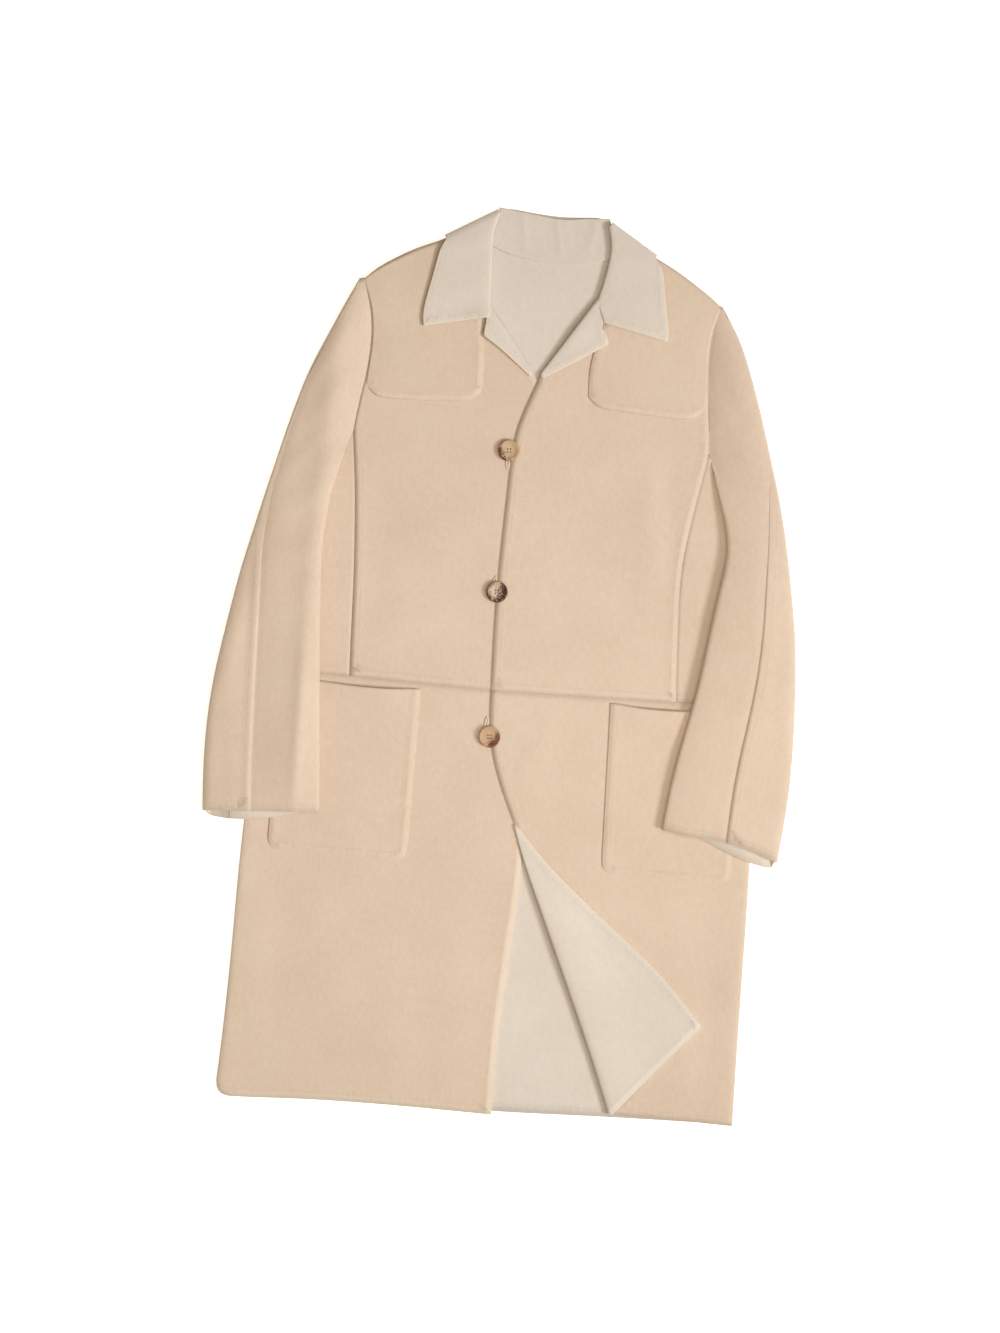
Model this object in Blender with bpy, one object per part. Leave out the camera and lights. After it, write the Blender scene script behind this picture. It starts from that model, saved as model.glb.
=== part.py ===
import math

import bmesh
import bpy
import numpy as np

# Driving dimensions, in millimetres. The coat lies on its back: +Y to the collar, +Z up.
CLOTH = 2.2
GAP = 0.3
STEP = CLOTH + GAP
BACK_LEVEL = CLOTH / 2
FRONT_LEVEL = BACK_LEVEL + CLOTH + 0.4
SEAM_RADIUS_FRONT = 1.95
SEAM_RADIUS_BACK = 1.8
SEAM_STRAIGHT = 0.15
SEAM_LIFT = 1.75
SEAM_SETTLE = 45.0
NECK_RISE_FROM = 385.0
NECK_RISE_TO = 432.0
NECK_RISE_LEAD = 12.0
LAID_ON = 3.0
LAP_RISE = 2.8
LAP_FROM = 46.0
LAP_TO = 78.0
LAPEL_RADIUS = 3.2
LAPEL_RADIUS_END = 1.3
CORNER_RADIUS = 4.0
CORNER_RADIUS_END = 1.4
COLLAR_RADIUS = 3.0
SLEEVE_RADIUS = 2.3
UNDERARM_REACH = 16.0
POCKET_MOUTH = 1.6
BUTTON_RADIUS = 12.8
BUTTON_THICK = 4.0
SHANK_RADIUS = 1.2
CORD_RADIUS = 0.8

BEIGE = (0.74, 0.56, 0.41)
CREAM = (0.74, 0.62, 0.50)
HORN = (0.42, 0.28, 0.16)
CORD = (0.78, 0.68, 0.54)

# Each side's seam lines as (x, y); left and right as seen from above.
SIDE = {
    "left": [(-269.5, 188), (-279, 60), (-297, -214), (-298.5, -339), (-299.5, -450), (-302.5, -538)],
    "right": [(291, 188), (299, 60), (314, -214), (316.5, -339), (318.5, -450), (320.5, -529.5)],
}
SHOULDER = {
    "left": [(-212, 440), (-173, 469), (-120, 498), (-66, 531)],
    "right": [(222, 447), (190, 465), (146, 492), (92, 529)],
}
ARMHOLE = {
    "left": [(-212, 440), (-198, 412), (-193.5, 373), (-196, 333), (-200.5, 305), (-206.5, 262)],
    "right": [(222, 447), (214, 424), (210.7, 394), (212.5, 362), (215, 331), (221.5, 271)],
}
UNDERARM = {"left": (-213, 236), "right": (225.5, 246)}
SIDE_FRONT_SEAM = {
    "left": [(-206.5, 262), (-198.2, 194.5), (-190.9, 97.6), (-187.5, 17.2), (-185.2, -31.44)],
    "right": [(221.5, 271), (201.5, 141.5), (203.3, 45.3), (207.9, -29.17)],
}
WAIST = {
    "left": [(-288, -30), (-185.2, -31.44), (33, -34.5)],
    "right": [(308, -27), (207.9, -29.17), (-14.5, -34)],
}
NECK_EDGE = {
    "left": [(-60.5, 531), (-58.8, 513), (-57.3, 488), (-55.5, 462), (-55.2, 447), (-55.8, 417)],
    "right": [(84, 531), (82.3, 511), (81, 490), (77, 467), (75, 460), (72, 448)],
}
ROLL = {
    "left": [(-51.9, 421.7), (-11, 363.5)],
    "right": [(68.3, 439.5), (20, 351.8)],
}
LAPEL_EDGE = {
    "left": [(-57.5, 409), (-59.9, 389.7), (-38, 375), (-15.5, 360.3)],
    "right": [(81.2, 415.3), (89.3, 391.9), (58, 370), (26.1, 348.3)],
}
FRONT_EDGE = {
    "left": [(-3, 352), (9, 336), (24, 318), (33, 292), (33, 130), (33, -34.5)],
    "right": [(14, 341), (9.8, 335), (-14.3, 267.2), (-14.7, 231), (-17.7, 86), (-14.5, -34)],
}
HEM = {
    "left": [(-302.5, -538), (-285, -543.5), (-186, -541), (-87, -540), (30, -541)],
    "right": [(320.5, -529.5), (250, -528.5), (177, -528)],
}
BACK_HEM = [(-302, -536), (-150, -538), (30, -537), (170, -532), (320, -528)]
SKIRT_EDGE = [(33, -34.5), (38, -150), (40, -254), (34.6, -346), (29.1, -448), (30, -541)]
CREASE_TOP = [(-14.5, -34), (-12, -89), (-3, -122), (15, -166)]
CREASE = [(25.7, -193), (43.5, -240.9), (85.4, -334.8), (136.3, -448.4), (169.9, -529.8)]
FLAP_EDGE = [(30.4, -192.3), (70.6, -234.9), (135.6, -289.4), (215.9, -353.5), (273, -413.5)]
BACK_NECK = [(-66, 531), (-54, 500), (-22, 486.5), (14, 483.5), (50, 486), (80, 499), (92, 529)]
STAND_FOOT = [(-52, 498), (-22, 486.5), (14, 483.5), (50, 486), (78, 497)]

# Sleeve rows from the shoulder to the cuff: where the row meets the outer and the inner edge,
# how far the visible seam is from the outer edge, and how far the row lies over the body (0 to 1).
SLEEVE_COLUMNS = ("outer_x", "outer_y", "inner_x", "inner_y", "seam_in", "over_body")
SLEEVE = {
    "left": [
        (-220, 434, -209, 431, 5, 0),
        (-231, 411, -197.5, 408, 6, 0),
        (-246, 376, -193.5, 373, 6, 0),
        (-266, 331, -196, 333, 6, 0),
        (-277, 293, -200.5, 305, 6, 0),
        (-287, 256, -206.5, 262, 6.5, 0),
        (-293, 231, -212, 237, 7, 0.6),
        (-299, 205, -217.5, 217, 8, 1),
        (-307, 172, -226, 180, 9, 1),
        (-320, 114, -229.4, 130, 18, 1),
        (-328, 80, -229, 94, 27, 1),
        (-341, 0, -222.5, 10, 43, 1),
        (-350, -61, -217, -58, 54, 1),
        (-352.3, -137, -210, -137, 59, 1),
        (-347, -207, -205, -197, 59, 1),
    ],
    "right": [
        (231, 438, 217, 434, 5.5, 0),
        (247, 412, 212.5, 412, 6, 0),
        (262, 376, 211.5, 378, 6, 0),
        (279, 328, 213.5, 345, 6, 0),
        (290, 293, 217, 312, 6, 0),
        (301, 257, 221.5, 271, 6.5, 0),
        (308, 234, 228, 247, 7, 0.6),
        (316, 204, 238, 216, 9, 1),
        (326, 161, 251, 168, 19, 1),
        (336, 108, 247.5, 116, 31, 1),
        (345, 58, 240, 66, 41, 1),
        (350.6, -7, 232, -8, 50, 1),
        (353, -70, 219, -69, 59, 1),
        (353.7, -125, 208.5, -126, 65, 1),
        (345, -207, 203, -182, 62, 1),
    ],
}

# Collar stations from the left end round the back to the right end: the roll, the outer edge and the layer.
COLLAR_COLUMNS = ("roll_x", "roll_y", "edge_x", "edge_y", "sag", "layer")
COLLAR = [
    (-55.2, 439, -132.5, 394, 14, "top"),
    (-55.2, 447, -137, 406, 6, "top"),
    (-55.5, 462, -130.5, 438, 0, "top"),
    (-57.3, 488, -124.5, 468, 0, "top"),
    (-58.8, 513, -121.5, 488, 0, "top"),
    (-60, 540.5, -118, 504.5, 0, "fold"),
    (-48, 545, -88, 480, 0, "under"),
    (-30, 543.5, -45, 475, 0, "under"),
    (16, 538.5, 14, 471, 0, "under"),
    (60, 542.5, 70, 475, 0, "under"),
    (68, 543, 94, 479, 0, "under"),
    (87, 538, 141, 501.5, 0, "fold"),
    (82.3, 511, 146, 485, 0, "top"),
    (81, 490, 150, 466, 0, "top"),
    (77, 467, 155, 438, 0, "top"),
    (75, 460, 160.5, 411, 6, "top"),
    (72.5, 449.5, 158.5, 399.5, 14, "top"),
]
YOKE = {
    "left": {
        "inner": [(-74, 470), (-63, 405), (-58.3, 375), (-56.5, 324)],
        "lower": [(-63, 311), (-118, 305), (-170, 303.5), (-199, 309)],
    },
    "right": {
        "inner": [(100, 470), (82, 410), (69.5, 372), (71.4, 326)],
        "lower": [(78, 315), (130, 311), (180, 308.5), (214.5, 312)],
    },
}
POCKET = {
    "left": {"top": (-264, -98.5, -40), "bottom": (-266, -98, -246.5)},
    "right": {"top": (285, 129.5, -37), "bottom": (291, 136, -241.5)},
}
BUTTONS = {
    "top": {"at": (-17.9, 253.7), "loop_end": -22},
    "middle": {"at": (-17.5, 83.8), "loop_end": 18},
    "bottom": {"at": (-11.2, -89.8), "loop_end": 23},
}
OUT = {"left": -1.0, "right": 1.0}


def ease(value, start, end):
    share = np.clip((value - start) / (end - start), 0.0, 1.0)
    return share * share * (3.0 - 2.0 * share)


def curve(points, count):
    """A smooth line through the points, as evenly spaced points."""
    points = np.array(points, float)
    if len(points) < 3:
        share = np.linspace(0.0, 1.0, count)[:, None]
        return points[0] + (points[-1] - points[0]) * share
    slopes = np.gradient(points, axis=0)
    line = []
    for k in range(len(points) - 1):
        for t in np.linspace(0.0, 1.0, 13)[:-1]:
            a = (1 + 2 * t) * (1 - t) ** 2 * points[k] + t * t * (3 - 2 * t) * points[k + 1]
            b = t * (1 - t) ** 2 * slopes[k] - t * t * (1 - t) * slopes[k + 1]
            line.append(a + b)
    line.append(points[-1])
    line = np.array(line)
    run = np.concatenate([[0.0], np.cumsum(np.linalg.norm(np.diff(line, axis=0), axis=1))])
    at = np.linspace(0.0, run[-1], count)
    return np.stack([np.interp(at, run, line[:, k]) for k in range(line.shape[1])], axis=1)


def joined(*runs):
    """Runs of points end to end, each run's first point being the last of the run before."""
    line = [runs[0]]
    for run in runs[1:]:
        line.append(run[1:])
    return np.concatenate(line)


def patch(top, bottom, left, right):
    """Points filled in between four edges that share their corners."""
    u = np.linspace(0.0, 1.0, len(top))[None, :, None]
    v = np.linspace(0.0, 1.0, len(left))[:, None, None]
    across = left[:, None] * (1 - u) + right[:, None] * u
    down = top[None] * (1 - v) + bottom[None] * v
    corners = (top[0] * (1 - u) + top[-1] * u) * (1 - v) + (bottom[0] * (1 - u) + bottom[-1] * u) * v
    return across + down - corners


def side_x(hand, y):
    line = np.array(SIDE[hand], float)[::-1]
    return np.interp(y, line[:, 1], line[:, 0])


def shoulder_y(hand, x):
    line = np.array(SHOULDER[hand], float)
    line = line[np.argsort(line[:, 0])]
    return np.interp(x, line[:, 0], line[:, 1])


def waist_y(hand, x):
    """The waist seam is straight from the side to the front edge."""
    (x0, y0), (x1, y1) = WAIST[hand][0], WAIST[hand][-1]
    return y0 + (y1 - y0) * (x - x0) / (x1 - x0)


def armhole_from(hand, drop, count):
    """The armhole line, its first point that far below the shoulder."""
    line = curve(ARMHOLE[hand], count)
    y = line[0][1] - drop
    line[0] = (np.interp(y, line[::-1, 1], line[::-1, 0]), y)
    return line


def neck_rise(y):
    return STEP * ease(y, NECK_RISE_FROM, NECK_RISE_TO)


def front_height(hand, x, y):
    """The middle of the front's cloth above the floor."""
    to_side = np.where(y < 230.0, OUT[hand] * (side_x(hand, y) - x), 999.0)
    to_shoulder = shoulder_y(hand, x) - y
    near = np.minimum(np.maximum(to_side, 0.0), np.maximum(to_shoulder, 0.0))
    height = FRONT_LEVEL + neck_rise(y + NECK_RISE_LEAD) + SEAM_LIFT * (1.0 - ease(near, 5.0, SEAM_SETTLE))
    if hand == "right":
        height = height + LAP_RISE * (1.0 - ease(x, LAP_FROM, LAP_TO))
    return height


def raised(hand, flat, extra=0.0):
    return np.dstack([flat, front_height(hand, flat[..., 0], flat[..., 1]) + extra])


def turned_rim(edge, outward, radius, upward):
    """Lines that carry an edge round a quarter turn to the seam, and a little straight on."""
    lines = []
    for angle in np.radians((30.0, 60.0, 90.0)):
        line = edge.copy()
        line[:, :2] += outward * radius * math.sin(angle)
        line[:, 2] += upward * radius * (1.0 - math.cos(angle))
        lines.append(line)
    lines.append(lines[-1] + (0.0, 0.0, upward * SEAM_STRAIGHT))
    return lines


def fold_lines(start, outward, radius, end, heights, across):
    """Lines that carry an edge round a half turn and lay it back as far as the end line."""
    lines = []
    for angle in np.radians((36.0, 72.0, 108.0, 144.0, 180.0)):
        line = start.copy()
        line[:, :2] += outward * (radius * math.sin(angle))[:, None]
        line[:, 2] += radius * (1.0 - math.cos(angle))
        lines.append(line)
    for share in np.linspace(0.0, 1.0, across + 1)[1:]:
        line = start.copy()
        line[:, :2] = start[:, :2] + (end - start[:, :2]) * share
        line[:, 2] = heights(line)
        lines.append(line)
    return lines


def colour_of(name, colour):
    material = bpy.data.materials.new(name)
    material.use_nodes = True
    shader = material.node_tree.nodes["Principled BSDF"]
    shader.inputs["Base Color"].default_value = (*colour, 1.0)
    shader.inputs["Roughness"].default_value = 0.9
    material.diffuse_color = (*colour, 1.0)
    return material


def named_object(name, mesh, colour):
    piece = bpy.data.objects.new(name, mesh)
    mesh.materials.append(colour_of(name, colour))
    bpy.context.scene.collection.objects.link(piece)
    return piece


def cloth(name, grid, colour, keep=None):
    """A wall of cloth whose middle goes through the grid's points."""
    rows, columns = grid.shape[:2]
    if keep is None:
        keep = np.ones((rows - 1, columns - 1), bool)
    faces = []
    for i in range(rows - 1):
        for j in range(columns - 1):
            if keep[i, j]:
                a = i * columns + j
                faces.append((a, a + columns, a + columns + 1, a + 1))
    used = sorted({index for face in faces for index in face})
    place = {index: k for k, index in enumerate(used)}
    points = grid.reshape(-1, 3)[used]
    faces = np.array([[place[index] for index in face] for face in faces])
    count = len(points)
    ways = np.cross(points[faces[:, 2]] - points[faces[:, 0]], points[faces[:, 3]] - points[faces[:, 1]])
    ways /= np.linalg.norm(ways, axis=1)[:, None]
    normals = np.zeros((count, 3))
    for corner in range(4):
        np.add.at(normals, faces[:, corner], ways)
    normals /= np.maximum(np.linalg.norm(normals, axis=1), 1e-6)[:, None]
    lean = np.zeros(count)
    shared = np.zeros(count)
    for corner in range(4):
        np.add.at(lean, faces[:, corner], np.sum(normals[faces[:, corner]] * ways, axis=1))
        np.add.at(shared, faces[:, corner], 1.0)
    reach = CLOTH / 2 / np.clip(lean / shared, 0.8, 1.0)
    walls = np.concatenate([points + normals * reach[:, None], points - normals * reach[:, None]]) * 0.001
    edges = {}
    for face in faces.tolist():
        for k in range(4):
            edges[(face[k], face[(k + 1) % 4])] = True
    skin = faces.tolist() + (faces[:, ::-1] + count).tolist()
    skin += [(b, a, a + count, b + count) for a, b in edges if (b, a) not in edges]
    mesh = bpy.data.meshes.new(name)
    mesh.from_pydata(walls.tolist(), [], skin)
    return named_object(name, mesh, colour)


def build_back():
    inset = SEAM_RADIUS_BACK + CLOTH / 2
    left_shoulder = curve(SHOULDER["left"], 6)
    right_shoulder = curve(SHOULDER["right"][::-1], 6)
    neck = curve(BACK_NECK, 11)
    top = joined(left_shoulder, neck, right_shoulder) - (0.0, inset + 2.0)
    sides = {}
    for hand in OUT:
        arm = armhole_from(hand, inset + 2.0, 7) - (OUT[hand] * (GAP + 1.0), 0.0)
        under = curve([ARMHOLE[hand][-1], UNDERARM[hand], SIDE[hand][0]], 4) - (OUT[hand] * (GAP + 1.0), 6.0)
        side = curve(SIDE[hand], 11) - (OUT[hand] * inset, 0.0)
        sides[hand] = joined(arm, under, side)
    hem = curve(BACK_HEM, len(top))
    for hand, at in (("left", 0), ("right", -1)):
        top[at] = sides[hand][0]
        hem[at] = sides[hand][-1]
    flat = patch(top, hem, sides["left"], sides["right"])
    grid = np.dstack([flat, BACK_LEVEL + neck_rise(flat[..., 1])])
    keep_top = np.ones(len(top) - 1, bool)
    keep_top[5:15] = False
    keep_side = np.zeros(len(flat) - 1, bool)
    keep_side[9:] = True
    up = np.where((np.arange(len(top)) <= 10)[:, None], (-0.54, 0.84), (0.54, 0.84))
    rim = turned_rim(grid[0], up, SEAM_RADIUS_BACK, 1.0)
    left = turned_rim(grid[:, 0], np.array((-1.0, 0.0)), SEAM_RADIUS_BACK, 1.0)
    right = turned_rim(grid[:, -1], np.array((1.0, 0.0)), SEAM_RADIUS_BACK, 1.0)
    rows, columns = flat.shape[:2]
    full = np.zeros((rows + 4, columns + 8, 3))
    full[4:, 4:-4] = grid
    full[:4, 4:-4] = np.array(rim[::-1])
    full[4:, :4] = np.stack(left[::-1], axis=1)
    full[4:, -4:] = np.stack(right, axis=1)
    keep = np.zeros((rows + 3, columns + 7), bool)
    keep[4:, 4:-4] = True
    keep[:4, 4:-4] = keep_top
    keep[4:, :4] = keep_side[:, None]
    keep[4:, -4:] = keep_side[:, None]
    cloth("back", full, BEIGE, keep)


def build_front(hand):
    out = OUT[hand]
    inset = SEAM_RADIUS_FRONT + CLOTH / 2
    roll = np.array(ROLL[hand], float)
    along = (roll[1] - roll[0]) / np.linalg.norm(roll[1] - roll[0])
    toward_neck = np.array((along[1], -along[0])) * out
    toward_neck = toward_neck if toward_neck[1] > 0 else -toward_neck
    bend = LAPEL_RADIUS + (LAPEL_RADIUS_END - LAPEL_RADIUS) * ease(np.arange(8), 3.0, 7.0)
    neck = curve(NECK_EDGE[hand], 6) + (out * (COLLAR_RADIUS + CLOTH / 2 + GAP + 0.3), 0.0)
    fold = curve(roll, 8) - toward_neck * (bend + CLOTH / 2)[:, None]
    edge = np.array(FRONT_EDGE[hand], float)
    inner = joined(
        np.vstack([neck[:-1] - (0.0, inset + 2.0), fold[:1]]),
        fold,
        np.vstack([fold[-1:], curve(edge, 12)[1:]]),
    )
    shoulder = curve(SHOULDER[hand], 9) - (0.0, inset + 2.0)
    shoulder[-1] = inner[0]
    arm = armhole_from(hand, inset + 2.0, 10)
    seam = curve(SIDE_FRONT_SEAM[hand], len(inner) - 9)
    outer = joined(arm, seam) - (out * GAP, 0.0)
    shoulder[0] = outer[0]
    waist = curve([outer[-1], inner[-1]], len(shoulder))
    waist[:, 1] = waist_y(hand, waist[:, 0]) + GAP / 2
    outer[-1] = waist[0]
    inner[-1] = waist[-1]
    flat = patch(shoulder, waist, outer, inner)
    grid = raised(hand, flat)
    rim = turned_rim(grid[0], np.array((out * 0.54, 0.84)), SEAM_RADIUS_FRONT, -1.0)
    first, last = 5, 12
    end = np.full((len(inner), 2), 0.0)
    end[:] = inner
    lapel = joined(curve(LAPEL_EDGE[hand][:2], 2), curve(LAPEL_EDGE[hand][1:], 7))
    end[first:last + 1] = lapel
    radius = np.full(len(inner), LAPEL_RADIUS)
    radius[first:last + 1] = bend

    def lay(line):
        return front_height(hand, line[:, 0], line[:, 1]) + 2 * radius

    flap = fold_lines(grid[:, -1], toward_neck, radius, end, lay, 4)
    rows, columns = flat.shape[:2]
    full = np.zeros((rows + 4, columns + len(flap), 3))
    full[4:, :columns] = grid
    full[:4, :columns] = np.array(rim[::-1])
    full[4:, columns:] = np.stack(flap, axis=1)
    keep = np.ones((rows + 3, columns + len(flap) - 1), bool)
    keep[:, columns - 1:] = False
    keep[4 + first:4 + last, columns - 1:] = True
    if hand == "right":
        full = full[:, ::-1]
        keep = keep[:, ::-1]
    cloth("front_" + hand, full, BEIGE, keep)


def with_side_rim(hand, grid):
    rim = turned_rim(grid[:, 0], np.array((OUT[hand], 0.0)), SEAM_RADIUS_FRONT, -1.0)
    return np.concatenate([np.stack(rim[::-1], axis=1), grid], axis=1)


def build_side_front(hand):
    out = OUT[hand]
    inset = SEAM_RADIUS_FRONT + CLOTH / 2
    seam = curve(SIDE_FRONT_SEAM[hand], 12)[1:] + (out * GAP, 0.0)
    seam[0] = seam[0] - (0.0, 6.0)
    side = curve([point for point in SIDE[hand] if point[1] > 0] + [WAIST[hand][0]], 11) - (out * inset, 0.0)
    top = curve([side[0], seam[0]], 5)
    waist = curve([side[-1], seam[-1]], 5)
    waist[:, 1] = waist_y(hand, waist[:, 0]) + GAP / 2
    side[-1] = waist[0]
    seam[-1] = waist[-1]
    flat = patch(top, waist, side, seam)
    grid = with_side_rim(hand, raised(hand, flat))
    cloth("side_front_" + hand, grid if hand == "left" else grid[:, ::-1], BEIGE)


def corner_radii(count):
    """The turned-back corner's fold is tight at its upper end and full below it."""
    return CORNER_RADIUS_END + (CORNER_RADIUS - CORNER_RADIUS_END) * ease(np.arange(count), 0.0, 4.0)


def skirt_flat(hand):
    out = OUT[hand]
    inset = SEAM_RADIUS_FRONT + CLOTH / 2
    below = [point for point in SIDE[hand] if point[1] < -30]
    side = curve([WAIST[hand][0]] + below, 15) - (out * inset, 0.0)
    hem = curve(HEM[hand], 11)
    if hand == "left":
        edge = curve(SKIRT_EDGE, 15)
    else:
        down = np.array(CREASE[-1], float) - np.array(CREASE[0], float)
        across = np.array((-down[1], down[0])) / np.linalg.norm(down)
        crease = curve(CREASE, 11) + across * (corner_radii(11) + CLOTH / 2)[:, None]
        edge = joined(curve(CREASE_TOP + [tuple(crease[0])], 5), crease)
    waist = curve([side[0], edge[0]], 11)
    waist[:, 1] = waist_y(hand, waist[:, 0]) - GAP / 2
    side[0] = waist[0]
    edge[0] = waist[-1]
    hem[0] = side[-1]
    hem[-1] = edge[-1]
    return patch(waist, hem, side, edge)


def build_skirt_left():
    cloth("skirt_left", with_side_rim("left", raised("left", skirt_flat("left"))), BEIGE)


def build_skirt_right():
    grid = raised("right", skirt_flat("right"))
    edge = grid[:, -1]
    down = np.array(CREASE[-1], float) - np.array(CREASE[0], float)
    toward_edge = np.array((down[1], -down[0])) / np.linalg.norm(down)
    end = edge[:, :2].copy()
    end[4:] = curve(FLAP_EDGE, 11)
    radius = np.full(len(edge), CORNER_RADIUS_END)
    radius[4:] = corner_radii(11)

    def settled(line):
        away = np.linalg.norm(line[:, :2] - edge[:, :2], axis=1)
        lift = (2 * radius - STEP - 0.1) * (1.0 - ease(away, 2.0, 70.0))
        return front_height("right", line[:, 0], line[:, 1]) + STEP + 0.1 + lift

    flap = fold_lines(edge, toward_edge, radius, end, settled, 7)
    body = with_side_rim("right", grid)
    full = np.concatenate([body, np.stack(flap, axis=1)], axis=1)
    keep = np.ones((full.shape[0] - 1, full.shape[1] - 1), bool)
    keep[:4, body.shape[1] - 1:] = False
    cloth("skirt_right", full[:, ::-1], BEIGE, keep[:, ::-1])


def build_yoke(hand):
    out = OUT[hand]
    table = YOKE[hand]
    inner = curve(table["inner"], 7)
    lower = curve([table["inner"][-1]] + table["lower"], 9)
    low = SEAM_RADIUS_FRONT + CLOTH / 2 + 5.0
    arm = np.array([point for point in ARMHOLE[hand] if point[1] > 320.0] + [table["lower"][-1]], float)
    outer = curve(arm, 7) - (out * 1.5, 0.0)
    top = curve([(outer[0][0], 0.0), (inner[0][0], 0.0)], 9)
    top[:, 1] = np.minimum(shoulder_y(hand, top[:, 0]) - low, inner[0][1] + 6.0)
    outer[0] = top[0]
    inner[0] = top[-1]
    lower = lower[::-1]
    lower[0] = outer[-1]
    lower[-1] = inner[-1]
    grid = raised(hand, patch(top, lower, outer, inner), LAID_ON)
    cloth("yoke_" + hand, grid if hand == "left" else grid[:, ::-1], BEIGE)


def build_pocket(hand):
    table = POCKET[hand]
    outer_top, inner_top, top_y = table["top"]
    outer_low, inner_low, low_y = table["bottom"]
    u = np.linspace(0.0, 1.0, 13)[None, :]
    v = np.linspace(0.0, 1.0, 11)[:, None]
    low = low_y + 7.0 * np.maximum(0.0, np.abs(2.0 * u - 1.0) * 8.0 - 7.0) ** 2
    x = (outer_top + (inner_top - outer_top) * u) * (1 - v) + (outer_low + (inner_low - outer_low) * u) * v
    y = top_y + (low - top_y) * v
    mouth = POCKET_MOUTH * ease(u, 0.42, 0.68) * (1.0 - ease(u, 0.8, 1.0)) * (1.0 - ease(v, 0.0, 0.22))
    grid = np.dstack([x, y, front_height(hand, x, y) + LAID_ON + mouth])
    cloth("pocket_" + hand, grid if hand == "left" else grid[:, ::-1], BEIGE)


def sleeve_floor(hand, x, y):
    """The middle of the sleeve's lower layer: over the body, then down to the floor outside it."""
    beyond = OUT[hand] * (x - side_x(hand, y))
    over = FRONT_LEVEL + STEP + 0.1 + SEAM_LIFT * (1.0 - ease(-beyond, 5.0, SEAM_SETTLE))
    over = over + (LAID_ON + 0.2) * (1.0 - ease(y, -18.0, 40.0))
    return BACK_LEVEL + (over - BACK_LEVEL) * (1.0 - ease(beyond, 4.0, 33.0))


def sleeve_top(hand, x, y, share, over_body, armhole_height):
    """The middle of the sleeve's upper layer; share runs from the outer edge to the inner one."""
    on_body = sleeve_floor(hand, x, y) + 2 * SLEEVE_RADIUS
    on_floor = BACK_LEVEL + neck_rise(y) + 2 * SLEEVE_RADIUS
    cap = on_floor * (1 - share) + armhole_height * share
    return cap * (1 - over_body) + on_body * over_body


def build_sleeve(hand):
    out = OUT[hand]
    rows = [dict(zip(SLEEVE_COLUMNS, row)) for row in SLEEVE[hand]]
    inset = SLEEVE_RADIUS + CLOTH / 2
    front, back, whole = [], [], []
    for row in rows:
        outer = np.array((row["outer_x"], row["outer_y"]), float)
        inner = np.array((row["inner_x"], row["inner_y"]), float)
        width = np.linalg.norm(inner - outer)
        across = (inner - outer) / width
        wraps = row["over_body"] >= 1.0
        near = inset / width
        far = 1.0 - (near if wraps else (GAP + 0.2) / width)
        seam = row["seam_in"] / width
        gap = GAP / 2 / width
        height = front_height(hand, *(inner - (out * 2.0, 0.0)))

        def top(share):
            spot = outer + (inner - outer) * share
            return (*spot, sleeve_top(hand, spot[0], spot[1], share, row["over_body"], height))

        def turn(spot, way, angle):
            x, y = spot[:2] + way * SLEEVE_RADIUS * math.sin(angle)
            return (x, y, spot[2] - SLEEVE_RADIUS * (1.0 - math.cos(angle)))

        line = [top(share) for share in np.linspace(seam + gap, far, 9)]
        angles = np.radians((36.0, 72.0, 108.0, 144.0, 180.0))
        fold = np.array(line[-1])
        line += [turn(fold, across, angle) for angle in angles]
        y_end = outer[1] * 0.7 + inner[1] * 0.3
        seam_x = side_x(hand, y_end) + out * UNDERARM_REACH
        share_end = np.clip((seam_x - outer[0]) / (inner[0] - outer[0]), near, 1.0)
        for share in np.linspace(far, share_end + gap, 7)[1:]:
            spot = outer + (inner - outer) * share
            line.append((*spot, sleeve_floor(hand, *spot)))
        front.append(line)
        whole.append(wraps)

        line = [top(share) for share in np.linspace(seam - gap, near, 4)]
        fold = np.array(line[-1])
        line += [turn(fold, -across, angle) for angle in angles]
        low_end = share_end - gap if wraps else far - 0.5 / width
        for share in np.linspace(near, low_end, 8)[1:]:
            spot = outer + (inner - outer) * share
            on_floor = BACK_LEVEL + neck_rise(spot[1])
            line.append((*spot, sleeve_floor(hand, *spot) if wraps else on_floor))
        back.append(line)
    front = np.array(front)
    back = np.array(back)
    keep = np.ones((front.shape[0] - 1, front.shape[1] - 1), bool)
    keep[:, 8:] = np.array(whole)[:-1, None]
    if hand == "right":
        front = front[:, ::-1]
        keep = keep[:, ::-1]
    else:
        back = back[:, ::-1]
    cloth("sleeve_front_" + hand, front, BEIGE, keep)
    cloth("sleeve_back_" + hand, back, BEIGE)


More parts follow.
